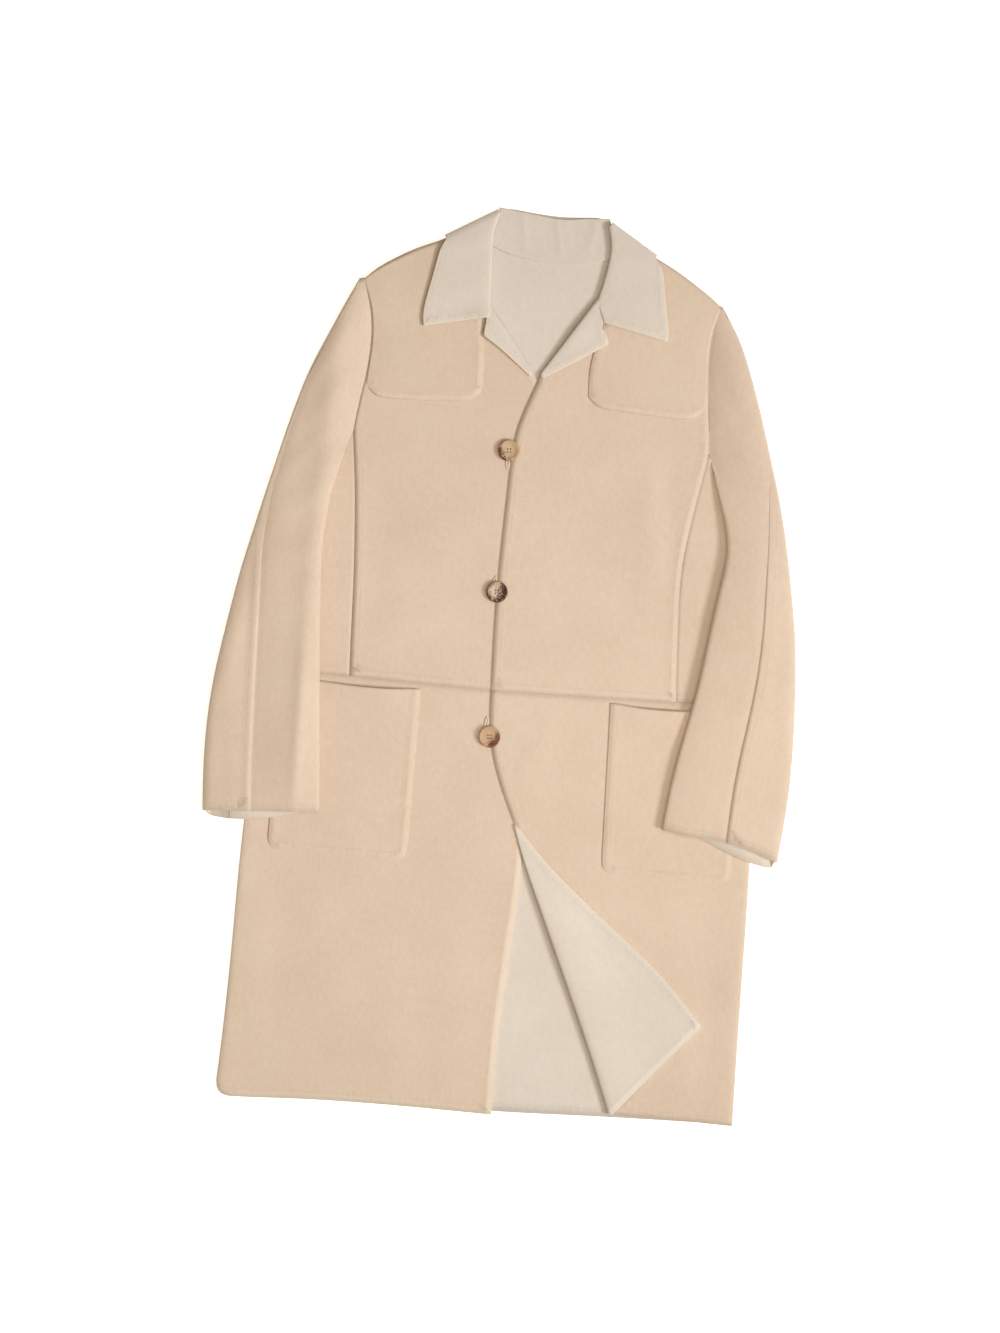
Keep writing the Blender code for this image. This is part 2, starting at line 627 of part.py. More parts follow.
def build_collar():
    stations = [dict(zip(COLLAR_COLUMNS, row)) for row in COLLAR]
    half = CLOTH / 2
    lines, arcs = [], []
    for station in stations:
        roll = np.array((station["roll_x"], station["roll_y"]), float)
        edge = np.array((station["edge_x"], station["edge_y"]), float)
        hand = "left" if roll[0] < 14.0 else "right"
        away = (edge - roll) / np.linalg.norm(edge - roll)
        shares = np.linspace(0.0, 1.0, 7)
        if station["layer"] == "top":
            start = roll + np.array((OUT[hand], 0.0)) * (COLLAR_RADIUS + half)
            spots = start + (edge - start) * shares[:, None]
            spots[:, 1] -= station["sag"] * 9.48 * shares * (1.0 - shares) ** 3
            high = front_height(hand, spots[:, 0], np.minimum(spots[:, 1], 520.0)) + 2 * COLLAR_RADIUS
            arc = []
            for angle in np.radians((180.0, 144.0, 108.0, 72.0, 36.0)):
                spot = start - np.array((OUT[hand], 0.0)) * COLLAR_RADIUS * math.sin(angle)
                arc.append((*spot, high[0] - COLLAR_RADIUS * (1.0 - math.cos(angle))))
            lines.append(arc + [(*spot, z) for spot, z in zip(spots, high)])
            arcs.append(True)
        elif station["layer"] == "under":
            spots = roll + (edge - roll) * shares[:, None] - (0.0, half)
            lines.append([(*spots[0], half)] * 5 + [(*spot, half) for spot in spots])
            arcs.append(False)
        else:
            spots = roll + (edge - roll) * shares[:, None]
            side = np.array((-away[1], away[0]))
            side = side if side[1] > 0 else -side
            top = front_height(hand, spots[:, 0], np.minimum(spots[:, 1], 500.0)) + 2 * COLLAR_RADIUS
            turn = []
            for angle in np.radians((0.0, 45.0, 90.0, 135.0, 180.0)):
                radius = (top - half) / 2
                middle = (top + half) / 2
                at = spots + side * (radius * math.sin(angle) - radius - half)[:, None]
                z = middle + radius * math.cos(angle)
                turn.append([(*at[0], z[0])] * 5 + [(*spot, h) for spot, h in zip(at, z)])
            lines.extend(turn if hand == "left" else turn[::-1])
            arcs.extend([False] * 5)
    grid = np.array(lines)
    keep = np.ones((len(lines) - 1, grid.shape[1] - 1), bool)
    keep[:, :5] = (np.array(arcs)[:-1] & np.array(arcs)[1:])[:, None]
    cloth("collar", grid, CREAM, keep)


def build_collar_stand():
    lower = curve(STAND_FOOT, 13) + (0.0, GAP)
    upper = curve([(-50, 541), (-14, 539.5), (16, 535), (60, 540), (78, 539)], 13)
    shares = np.linspace(0.0, 1.0, 6)[:, None, None]
    flat = upper[None] * (1 - shares) + lower[None] * shares
    cloth("collar_stand", np.dstack([flat, np.full(flat.shape[:2], BACK_LEVEL + STEP)]), CREAM)


def lathe(profile, at, segments):
    """A closed turned body from a profile of (radius, height)."""
    mesh = bmesh.new()
    rings = []
    for radius, height in profile:
        if radius == 0.0:
            rings.append([mesh.verts.new((at[0], at[1], height))] * segments)
            continue
        ring = []
        for k in range(segments):
            angle = 2 * math.pi * k / segments
            ring.append(mesh.verts.new((at[0] + radius * math.cos(angle), at[1] + radius * math.sin(angle), height)))
        rings.append(ring)
    for low, high in zip(rings, rings[1:]):
        for k in range(segments):
            n = (k + 1) % segments
            corners = [low[k], low[n], high[n], high[k]]
            mesh.faces.new(list(dict.fromkeys(corners)))
    bmesh.ops.recalc_face_normals(mesh, faces=mesh.faces[:])
    return mesh


def edge_at(y):
    line = np.array(FRONT_EDGE["right"] + CREASE_TOP[1:], float)[::-1]
    return float(np.interp(y, line[:, 1], line[:, 0]))


def shank_at(button):
    """The thread shank stands on the under front, clear of the upper front's edge."""
    x, y = button["at"]
    lowest = min(edge_at(y + step) for step in (-8.0, -4.0, 0.0, 4.0, 8.0))
    return np.array((min(x, lowest - SHANK_RADIUS - 2 * CORD_RADIUS - 2.2), y))


def build_button(name, button):
    x, y = button["at"]
    under = front_height("right", x, y) + CLOTH / 2 + 0.5
    low = front_height("left", x, y) + CLOTH / 2 + GAP
    r = BUTTON_RADIUS
    t = BUTTON_THICK
    profile = [(0.0, under), (r * 0.72, under), (r * 0.95, under + 0.9), (r, under + t * 0.5)]
    profile += [(r * 0.96, under + t * 0.86), (r * 0.86, under + t), (r * 0.74, under + t * 0.93)]
    profile += [(r * 0.62, under + t * 0.78), (0.0, under + t * 0.74)]
    scaled = [(radius * 0.001, height * 0.001) for radius, height in profile]
    body = lathe(scaled, (x * 0.001, y * 0.001), 28)
    shank = shank_at(button)
    mesh = bpy.data.meshes.new("button_" + name)
    body.to_mesh(mesh)
    body.free()
    piece = named_object("button_" + name, mesh, HORN)
    stem = [(0.0, low), (SHANK_RADIUS, low), (SHANK_RADIUS, under + 0.6), (0.0, under + 0.6)]
    stem = [(radius * 0.001, height * 0.001) for radius, height in stem]
    stem_mesh = bpy.data.meshes.new("stem")
    made = lathe(stem, shank * 0.001, 12)
    made.to_mesh(stem_mesh)
    made.free()
    joined_body(piece, stem_mesh, "UNION")
    holes = bpy.data.meshes.new("holes")
    drill = bmesh.new()
    for k in range(4):
        angle = math.pi / 4 + k * math.pi / 2
        at = np.array((x, y)) + 2.9 * np.array((math.cos(angle), math.sin(angle)))
        for vertex in bmesh.ops.create_cone(
            drill, cap_ends=True, segments=10, radius1=0.00095, radius2=0.00095, depth=0.0026
        )["verts"]:
            vertex.co.x += at[0] * 0.001
            vertex.co.y += at[1] * 0.001
            vertex.co.z += (under + t * 0.74) * 0.001
    drill.to_mesh(holes)
    drill.free()
    joined_body(piece, holes, "DIFFERENCE")


def joined_body(piece, mesh, operation):
    other = bpy.data.objects.new(mesh.name, mesh)
    bpy.context.scene.collection.objects.link(other)
    change = piece.modifiers.new(operation, "BOOLEAN")
    change.operation = operation
    change.solver = "EXACT"
    change.object = other
    graph = bpy.context.evaluated_depsgraph_get()
    result = bpy.data.meshes.new_from_object(piece.evaluated_get(graph))
    piece.modifiers.clear()
    piece.data = result
    bpy.data.objects.remove(other)


def build_loop(name, button):
    """A cord ring round the shank, drawn out to the point where it is sewn to the front's edge."""
    shank = shank_at(button)
    reach = SHANK_RADIUS + GAP + CORD_RADIUS
    end_y = shank[1] + button["loop_end"]
    tip = np.array((edge_at(end_y) - 2 * CORD_RADIUS - 1.0, end_y))
    away = (tip - shank) / np.linalg.norm(tip - shank)
    aside = np.array((-away[1], away[0]))
    path = []
    for k in range(12):
        angle = math.radians(90.0 + 180.0 * k / 11)
        path.append(shank + reach * (away * math.cos(angle) + aside * math.sin(angle)))
    long = np.linalg.norm(tip - shank)
    for share in (0.3, 0.6, 0.9):
        path.append(shank + away * long * share - aside * (reach * (1 - share) + 1.05 * share))
    path.append(tip + away * 0.6)
    for share in (0.9, 0.6, 0.3):
        path.append(shank + away * long * share + aside * (reach * (1 - share) + 1.05 * share))
    path = np.array(path)
    x, y = button["at"]
    height = front_height("left", x, y) + CLOTH / 2 + GAP + CORD_RADIUS
    mesh = bmesh.new()
    rings = []
    count = len(path)
    for k in range(count):
        ahead = path[(k + 1) % count] - path[k - 1]
        side = np.array((-ahead[1], ahead[0])) / np.linalg.norm(ahead)
        ring = []
        for j in range(8):
            angle = 2 * math.pi * j / 8
            spot = path[k] + side * CORD_RADIUS * math.cos(angle)
            ring.append(mesh.verts.new((*(spot * 0.001), (height + CORD_RADIUS * math.sin(angle)) * 0.001)))
        rings.append(ring)
    for k in range(count):
        for j in range(8):
            ring, after = rings[k], rings[(k + 1) % count]
            mesh.faces.new((ring[j], ring[(j + 1) % 8], after[(j + 1) % 8], after[j]))
    bmesh.ops.recalc_face_normals(mesh, faces=mesh.faces[:])
    data = bpy.data.meshes.new("loop_" + name)
    mesh.to_mesh(data)
    mesh.free()
    named_object("loop_" + name, data, CORD)


def main():
    for old in list(bpy.data.objects):
        bpy.data.objects.remove(old)
    build_back()
    for hand in OUT:
        build_front(hand)
        build_side_front(hand)
        build_yoke(hand)
        build_pocket(hand)
        build_sleeve(hand)
    build_skirt_left()
    build_skirt_right()
    build_collar()
    build_collar_stand()
    for name, button in BUTTONS.items():
        build_button(name, button)
        build_loop(name, button)


main()
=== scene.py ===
import math
import bpy
import numpy as np
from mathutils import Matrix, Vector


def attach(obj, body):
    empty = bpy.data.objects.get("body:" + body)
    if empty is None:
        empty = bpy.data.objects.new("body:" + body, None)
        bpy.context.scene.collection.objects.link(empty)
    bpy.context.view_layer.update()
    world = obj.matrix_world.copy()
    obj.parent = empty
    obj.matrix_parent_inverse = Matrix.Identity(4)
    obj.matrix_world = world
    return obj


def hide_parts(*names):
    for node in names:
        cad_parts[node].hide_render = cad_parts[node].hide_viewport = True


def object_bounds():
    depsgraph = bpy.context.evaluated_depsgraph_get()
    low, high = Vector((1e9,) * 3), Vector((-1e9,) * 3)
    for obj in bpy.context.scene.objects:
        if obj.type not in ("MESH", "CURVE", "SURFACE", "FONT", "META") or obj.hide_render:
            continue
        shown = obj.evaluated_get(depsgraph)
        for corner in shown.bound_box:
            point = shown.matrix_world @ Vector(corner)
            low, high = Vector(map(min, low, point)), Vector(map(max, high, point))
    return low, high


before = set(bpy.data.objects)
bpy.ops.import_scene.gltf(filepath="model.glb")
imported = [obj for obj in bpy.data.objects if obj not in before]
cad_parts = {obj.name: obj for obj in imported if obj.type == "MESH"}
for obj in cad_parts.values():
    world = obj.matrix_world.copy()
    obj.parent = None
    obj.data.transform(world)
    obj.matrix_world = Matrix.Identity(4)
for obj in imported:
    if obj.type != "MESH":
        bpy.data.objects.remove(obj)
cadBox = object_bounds()
print("frame loaded:", len(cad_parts), "nodes")
bpy.ops.object.select_all(action="DESELECT")

# sizes in millimetres, the same frame as the solids: +Y to the collar, +Z up
mm = 0.001
wool = {"thick": 2.2, "tuck": 2.0, "tuckDown": 0.15, "stitchIn": 8.5, "fine": 2, "lineReach": 60.0,
        "paleEdge": (0.80, 0.69, 0.54), "paleFrom": 0.8, "paleTo": 4.2, "dipTo": 7.0}
pucker = {"high": 0.25, "in": 5.0, "wide": 4.5, "every": 23.0, "wander": 2.0, "wanderEvery": 37.0}
half = wool["thick"] / 2
layers = {"back": 1.1, "front": 3.7, "step": 2.5, "clear": 0.1, "laidOn": 2.35,
          "seamLift": 1.75, "seamFlat": 5.0, "settle": 45.0, "sideTop": 230.0}
turns = {"seamFront": 1.95, "seamBack": 1.8, "seamEnd": 0.15, "lapel": 2.9, "lapelEnd": 1.5,
         "corner": 4.0, "cornerEnd": 1.4, "collar": 3.0, "sleeve": 3.6}
quarterTurn = np.radians((30.0, 60.0, 90.0))
halfTurn = np.radians((36.0, 72.0, 108.0, 144.0, 180.0))
rimLines = len(quarterTurn) + 1
# how far short of its seam the flat cloth stops, and a little more at the shoulder
seamInset = {"front": turns["seamFront"] + half, "back": turns["seamBack"] + half}
shoulderMore = 2.0
seamUp = {"left": np.array((-0.54, 0.84)), "right": np.array((0.54, 0.84))}
sideways = {"left": np.array((-1.0, 0.0)), "right": np.array((1.0, 0.0))}
neckLift = {"from": 385.0, "to": 432.0, "lead": 12.0}
lap = {"rise": 1.4, "from": 46.0, "to": 78.0}
out = {"left": -1.0, "right": 1.0}   # left and right as seen from above

sideLine = {
    "left": [(-269.5, 188), (-279, 60), (-297, -214), (-298.5, -339), (-299.5, -450), (-304, -546)],
    "right": [(291, 188), (299, 60), (314, -214), (316.5, -339), (318.5, -450), (320.5, -529.5)],
}
shoulderLine = {
    "left": [(-211.5, 445.5), (-192, 463), (-150.5, 488.5), (-112, 505), (-66, 531)],
    "right": [(223, 449.5), (192, 471), (160, 491), (128, 507), (92, 529)],
}
armhole = {
    "left": [(-211.5, 445), (-198, 412), (-193.5, 373), (-196, 333), (-200.5, 305), (-206.5, 262)],
    "right": [(223, 449), (214, 424), (210.7, 394), (212.5, 362), (215, 331), (221.5, 271)],
}
sideFrontSeam = {
    "left": [(-206.5, 262), (-198.2, 194.5), (-190.9, 97.6), (-187.5, 17.2), (-185.2, -31.44)],
    "right": [(221.5, 271), (201.5, 141.5), (203.3, 45.3), (207.9, -29.17)],
}
waistEnds = {"left": [(-288, -30), (33, -34.5)], "right": [(308, -27), (-14.5, -34)]}


def ease(value, start, end):
    share = np.clip((value - start) / (end - start), 0.0, 1.0)
    return share * share * (3.0 - 2.0 * share)


# a smooth line through the points, evenly spaced
def curve(points, count):
    points = np.array(points, float)
    if len(points) < 3:
        share = np.linspace(0.0, 1.0, count)[:, None]
        return points[0] + (points[-1] - points[0]) * share
    slopes = np.gradient(points, axis=0)
    line = []
    for k in range(len(points) - 1):
        for t in np.linspace(0.0, 1.0, 13)[:-1]:
            a = (1 + 2 * t) * (1 - t) ** 2 * points[k] + t * t * (3 - 2 * t) * points[k + 1]
            line.append(a + t * (1 - t) ** 2 * slopes[k] - t * t * (1 - t) * slopes[k + 1])
    line = np.array(line + [points[-1]])
    run = np.concatenate([[0.0], np.cumsum(np.linalg.norm(np.diff(line, axis=0), axis=1))])
    at = np.linspace(0.0, run[-1], count)
    return np.stack([np.interp(at, run, line[:, k]) for k in range(line.shape[1])], axis=1)


def joined(*runs):
    return np.concatenate([runs[0]] + [run[1:] for run in runs[1:]])


def blend(first, second, share):
    return first * (1 - share) + second * share


def unit(way):
    return way / np.linalg.norm(way)


# points filled in between four edges that share their corners
def patch(top, bottom, left, right):
    u = np.linspace(0.0, 1.0, len(top))[None, :, None]
    v = np.linspace(0.0, 1.0, len(left))[:, None, None]
    corners = blend(blend(top[0], top[-1], u), blend(bottom[0], bottom[-1], u), v)
    return blend(left[:, None], right[:, None], u) + blend(top[None], bottom[None], v) - corners


def sideX(hand, y):
    line = np.array(sideLine[hand], float)[::-1]
    return np.interp(y, line[:, 1], line[:, 0])


def shoulderY(hand, x):
    line = np.array(shoulderLine[hand], float)
    line = line[np.argsort(line[:, 0])]
    return np.interp(x, line[:, 0], line[:, 1])


def waistY(hand, x):
    (x0, y0), (x1, y1) = waistEnds[hand]
    return y0 + (y1 - y0) * (x - x0) / (x1 - x0)


def armholeFrom(hand, drop, count):
    line = curve(armhole[hand], count)
    y = line[0][1] - drop
    line[0] = (np.interp(y, line[::-1, 1], line[::-1, 0]), y)
    return line


def neckRise(y):
    return layers["step"] * ease(y, neckLift["from"], neckLift["to"])


# height of the middle of the front's cloth
def frontHeight(hand, x, y):
    toSide = np.where(y < layers["sideTop"], out[hand] * (sideX(hand, y) - x), np.inf)
    near = np.minimum(np.maximum(toSide, 0.0), np.maximum(shoulderY(hand, x) - y, 0.0))
    height = layers["front"] + neckRise(y + neckLift["lead"])
    height = height + layers["seamLift"] * (1.0 - ease(near, layers["seamFlat"], layers["settle"]))
    if hand == "right":
        height = height + lap["rise"] * (1.0 - ease(x, lap["from"], lap["to"]))
    return height


def raised(hand, flat, extra=0.0):
    return np.dstack([flat, frontHeight(hand, flat[..., 0], flat[..., 1]) + extra])


# an edge carried round a quarter turn to its seam
def turnedRim(edge, outward, radius, upward):
    lines = []
    for angle in quarterTurn:
        line = edge.copy()
        line[:, :2] += outward * radius * math.sin(angle)
        line[:, 2] += upward * radius * (1.0 - math.cos(angle))
        lines.append(line)
    lines.append(lines[-1] + (0.0, 0.0, upward * turns["seamEnd"]))
    return lines


# an edge carried round a half turn and laid back as far as the end line
def foldLines(start, outward, radius, end, heights, across):
    lines = []
    for angle in halfTurn:
        line = start.copy()
        line[:, :2] += outward * (radius * math.sin(angle))[:, None]
        line[:, 2] += radius * (1.0 - math.cos(angle))
        lines.append(line)
    for share in np.linspace(0.0, 1.0, across + 1)[1:]:
        line = start.copy()
        line[:, :2] = start[:, :2] + (end - start[:, :2]) * share
        line[:, 2] = heights(line)
        lines.append(line)
    return lines


# distance in plan to a set of lines, and how far along the nearest one
def alongLines(spots, lines):
    best = np.full(len(spots), wool["lineReach"])
    run = np.zeros(len(spots))
    for line in lines:
        line = np.asarray(line, float)[:, :2]
        gone = 0.0
        for a, b in zip(line, line[1:]):
            way = b - a
            size = np.linalg.norm(way)
            if size < 1e-6:
                continue
            t = np.clip(((spots - a) @ way) / size ** 2, 0.0, 1.0)
            far = np.linalg.norm(spots - a - t[:, None] * way, axis=1)
            near = far < best
            best = np.where(near, far, best)
            run = np.where(near, gone + t * size, run)
            gone += size
    return best, run


# shader maths as plain expressions on sockets
class Value:
    def __init__(self, tree, socket):
        self.tree = tree
        self.socket = socket

    def add(self, kind, settings=None, **inputs):
        node = self.tree.nodes.new(kind)
        for name, value in (settings or {}).items():
            setattr(node, name, value)
        for name, value in inputs.items():
            socket = node.inputs[int(name[1:]) if name[1:].isdigit() else name.replace("_", " ")]
            if isinstance(value, Value):
                self.tree.links.new(value.socket, socket)
            else:
                socket.default_value = value
        return node

    def math(self, operation, *values):
        inputs = {"i" + str(k): value for k, value in enumerate(values)}
        node = self.add("ShaderNodeMath", {"operation": operation}, **inputs)
        return Value(self.tree, node.outputs[0])

    def __add__(self, other): return self.math("ADD", self, other)
    def __radd__(self, other): return self.math("ADD", other, self)
    def __sub__(self, other): return self.math("SUBTRACT", self, other)
    def __mul__(self, other): return self.math("MULTIPLY", self, other)
    def __truediv__(self, other): return self.math("DIVIDE", self, other)

    def within(self, low, high):
        node = self.add("ShaderNodeMapRange", {"interpolation_type": "SMOOTHSTEP"},
                        Value=self, From_Min=low, From_Max=high)
        return Value(self.tree, node.outputs[0])

    def hump(self, middle, wide):
        away = (self - middle) / wide
        return self.math("POWER", 2.718, (away * away) * -1.0)

    def noise(self, scale, detail=2.0, rough=0.5, stretch=(1.0, 1.0, 1.0)):
        spot = self.add("ShaderNodeMapping", None, Vector=self, Scale=stretch)
        node = self.add("ShaderNodeTexNoise", None, Vector=Value(self.tree, spot.outputs[0]),
                        Scale=scale, Detail=detail, Roughness=rough)
        return Value(self.tree, node.outputs["Fac"])

    def mix(self, first, second):
        node = self.add("ShaderNodeMix", {"data_type": "RGBA"}, i0=self, i6=first, i7=second)
        return Value(self.tree, node.outputs[2])

    def attribute(self, name):
        node = self.add("ShaderNodeAttribute", {"attribute_name": name})
        return Value(self.tree, node.outputs["Fac"])


def newMaterial(name):
    material = bpy.data.materials.new(name)
    material.use_nodes = True
    tree = material.node_tree
    shader = tree.nodes["Principled BSDF"]
    spot = tree.nodes.new("ShaderNodeTexCoord")
    return material, tree, shader, Value(tree, spot.outputs["Object"])


# felted double-faced wool: a soft nap over a faint weave, a stitched line inside each edge whose groove is
# darkened towards the stitch colour as painted shade
woolLooks = {
    "beige": {"dark": (0.670, 0.520, 0.401), "light": (0.735, 0.594, 0.466), "stitch": (0.56, 0.40, 0.28)},
    "cream": {"dark": (0.680, 0.598, 0.522), "light": (0.741, 0.662, 0.583), "stitch": (0.62, 0.51, 0.41)},
    "cut": {"dark": (0.656, 0.546, 0.448), "light": (0.718, 0.605, 0.503), "stitch": (0.62, 0.47, 0.34)},
}
# noises in the cloth: scale, detail, roughness and stretch
grains = {
    "nap": (900.0, 4.0, 0.65), "tufts": (210.0, 3.0, 0.6, (1.0, 0.55, 1.0)),
    "weave": (520.0, 2.0, 0.5, (0.35, 1.6, 1.0)), "cloud": (9.0, 3.0, 0.55), "uneven": (60.0, 2.0, 0.5),
}
# the stitched line's dash length, wander and groove width, for its bump and its painted shade, and the raised
# band beside it
stitch = {"long": 7.5, "wander": 14.0, "wide": 1.3, "bandIn": (0.0, 6.0), "bandOut": (8.0, 14.0)}
woolFinish = {"Roughness": 0.94, "Specular IOR Level": 0.18, "Sheen Weight": 0.07, "Sheen Roughness": 0.55,
              "Sheen Tint": (1.0, 0.93, 0.85, 1.0)}


def woolMaterial(name):
    look = woolLooks[name]
    material, tree, shader, spot = newMaterial(name + "Wool")
    nap, tufts, weave, cloud, uneven = (spot.noise(*grain) for grain in grains.values())
    tone = (nap * 0.26 + tufts * 0.30 + weave * 0.14 + cloud * 0.30).within(0.36, 0.64)
    edge, run, pale = (spot.attribute(label) for label in ("edge", "run", "pale"))
    wave = (run + uneven * stitch["wander"]) * (2 * math.pi / stitch["long"])
    prick = spot.math("SINE", wave) * 0.5 + 0.5
    line = edge.hump(wool["stitchIn"], stitch["wide"]) * (prick * 0.6 + 0.4) * uneven.within(0.25, 0.65)
    band = edge.within(*stitch["bandIn"]) - edge.within(*stitch["bandOut"])
    colour = tone.mix((*look["dark"], 1.0), (*look["light"], 1.0))
    # painted shade: the stitched groove darkened towards the stitch colour, broken along its run
    colour = (line * 0.30).mix(colour, (*look["stitch"], 1.0))
    # pale: the lighter cut edge of the cloth, spread wide on the sleeve cuffs as painted light on their
    # shaded inside
    colour = (pale * (0.35 + uneven * 0.5)).mix(colour, (*wool["paleEdge"], 1.0))
    tree.links.new(colour.socket, shader.inputs["Base Color"])
    height = nap * 0.10 + tufts * 0.16 + weave * 0.09 - line * 0.20 + band * (0.14 + prick * 0.12)
    bump = spot.add("ShaderNodeBump", None, Strength=1.0, Distance=0.001, Height=height)
    tree.links.new(bump.outputs[0], shader.inputs["Normal"])
    for label, value in woolFinish.items():
        shader.inputs[label].default_value = value
    return material


wools = {name: woolMaterial(name) for name in woolLooks}
print("wool materials made")

# soft ridges of the laid cloth: from, to, half width and height, in millimetres
ridges = {
    "body": [
        (-150, 255, -60, 225, 16, 0.8), (40, 232, 150, 262, 18, 0.7), (-120, 150, -40, 168, 22, 0.6),
        (60, 120, 170, 96, 20, 0.7), (-150, 30, -70, 60, 17, 0.8), (70, 20, 160, 44, 15, 0.6),
        (-82, -58, -36, -104, 7, 1.1), (-68, -50, -26, -92, 6, -0.7), (60, -70, 30, -140, 14, 0.8),
        (176, 250, 190, 105, 14, -1.5), (150, 250, 166, 110, 16, 0.9), (-168, 210, -160, 60, 20, -0.8),
        (-210, -300, -150, -480, 30, 1.2), (-110, -290, -90, -500, 26, 0.9), (-30, -330, -20, -510, 24, 0.7),
        (240, -300, 262, -500, 24, 1.1), (-270, -300, -262, -470, 18, 0.9), (300, -330, 303, -480, 14, 0.8),
        (-100, 455, -150, 430, 18, 0.8), (120, 460, 175, 432, 18, 0.8), (-172, 352, -110, 372, 18, 0.6),
    ],
    "left": [
        (-222, 392, -250, 330, 12, 1.4), (-208, 330, -262, 262, 12, 1.6), (-232, 268, -276, 214, 10, 1.2),
        (-232, 190, -292, 150, 14, 1.8), (-236, 120, -300, 92, 12, 1.3), (-238, 62, -312, 50, 13, 1.5),
        (-232, 10, -320, 20, 12, 1.1), (-330, -40, -262, -70, 12, 1.2), (-226, -110, -290, -128, 14, 0.9),
        (-318, 60, -334, -60, 9, 1.3), (-340, -110, -336, -190, 8, 0.9),
        (-298, 40, -288, -190, 22, -4.0), (-231, 400, -240, -192, 19, 5.2), (-241, 0, -237, -192, 7, 2.0),
        (-306, 110, -302, -20, 4, 0.8), (-302, -20, -293, -203, 4, 0.8),
    ],
    "right": [
        (232, 396, 258, 330, 12, 1.4), (228, 322, 276, 262, 12, 1.5), (240, 262, 290, 214, 11, 1.3),
        (256, 190, 306, 150, 12, 1.9), (258, 140, 322, 118, 12, 1.4), (252, 84, 322, 70, 14, 1.5),
        (246, 30, 330, 34, 12, 1.1), (238, -40, 322, -64, 13, 1.4), (222, -104, 296, -122, 13, 1.0),
        (332, 40, 340, -80, 9, 1.3), (340, -120, 334, -196, 8, 0.9),
        (256, 385, 316, -20, 24, 1.8),
    ],
    "collar": [
        (-72, 446, -126, 424, 12, 0.7), (92, 452, 150, 426, 12, 0.7), (-70, 500, -112, 488, 10, 0.8),
        (96, 498, 136, 484, 10, 0.8),
    ],
    "back": [
        (-150, 380, -60, 350, 12, 0.4), (40, 362, 150, 392, 14, 0.4), (-130, 250, -30, 268, 13, 0.4),
        (30, 200, 140, 176, 12, 0.35), (-160, 90, -70, 118, 12, 0.4), (60, 60, 170, 84, 10, 0.4),
        (-60, -40, -100, -120, 10, 0.4), (40, -90, 84, -160, 12, 0.35), (-200, -200, -170, -420, 18, 0.4),
        (-90, -230, -70, -470, 16, 0.35), (30, -260, 44, -500, 16, 0.4), (150, -220, 170, -460, 18, 0.4),
        (250, -200, 268, -440, 14, 0.35),
    ],
    "stand": [
        (-26, 540, -18, 488, 5, 0.5), (15, 536, 24, 492, 4, 0.7), (22, 540, 34, 500, 6, 0.4),
        (64, 540, 56, 496, 5, 0.5),
    ],
    "flap": [
        (60, -262, 128, -372, 34, 1.2), (132, -332, 176, -450, 30, 0.9), (210, -388, 214, -440, 24, 0.8),
    ],
}
ridgeShare = {"left": 0.85, "right": 0.65}
ridgeFade = (0.28, 0.72)


def ridgeHeight(names, spots):
    height = np.zeros(len(spots))
    for name in names:
        for x0, y0, x1, y1, wide, tall in ridges[name]:
            a = np.array((x0, y0), float)
            way = np.array((x1, y1), float) - a
            size = np.linalg.norm(way)
            t = ((spots - a) @ way) / size ** 2
            far = np.abs((spots - a) @ np.array((-way[1], way[0])) / size)
            bow = 1.0 - ease(np.abs(t - 0.5), *ridgeFade)
            height += tall * ridgeShare.get(name, 1.0) * bow * np.exp(-(far / wide) ** 2)
    return height


# a square lower left corner, rounded off
def roundedCorner(flat, corner, radius):
    far = 1.0 - (flat - corner) / radius
    size = np.maximum(np.linalg.norm(far, axis=1), 1e-9)
    share = np.where(far.min(axis=1) > 0.0, far.max(axis=1) / size, 1.0)
    return corner + radius * (1.0 - far * share[:, None])


def onlySelect(piece):
    bpy.ops.object.select_all(action="DESELECT")
    piece.select_set(True)
    bpy.context.view_layer.objects.active = piece


def addValues(mesh, lists):
    for label, values in lists.items():
        mesh.attributes.new(label, "FLOAT", "POINT").data.foreach_set("value", values)


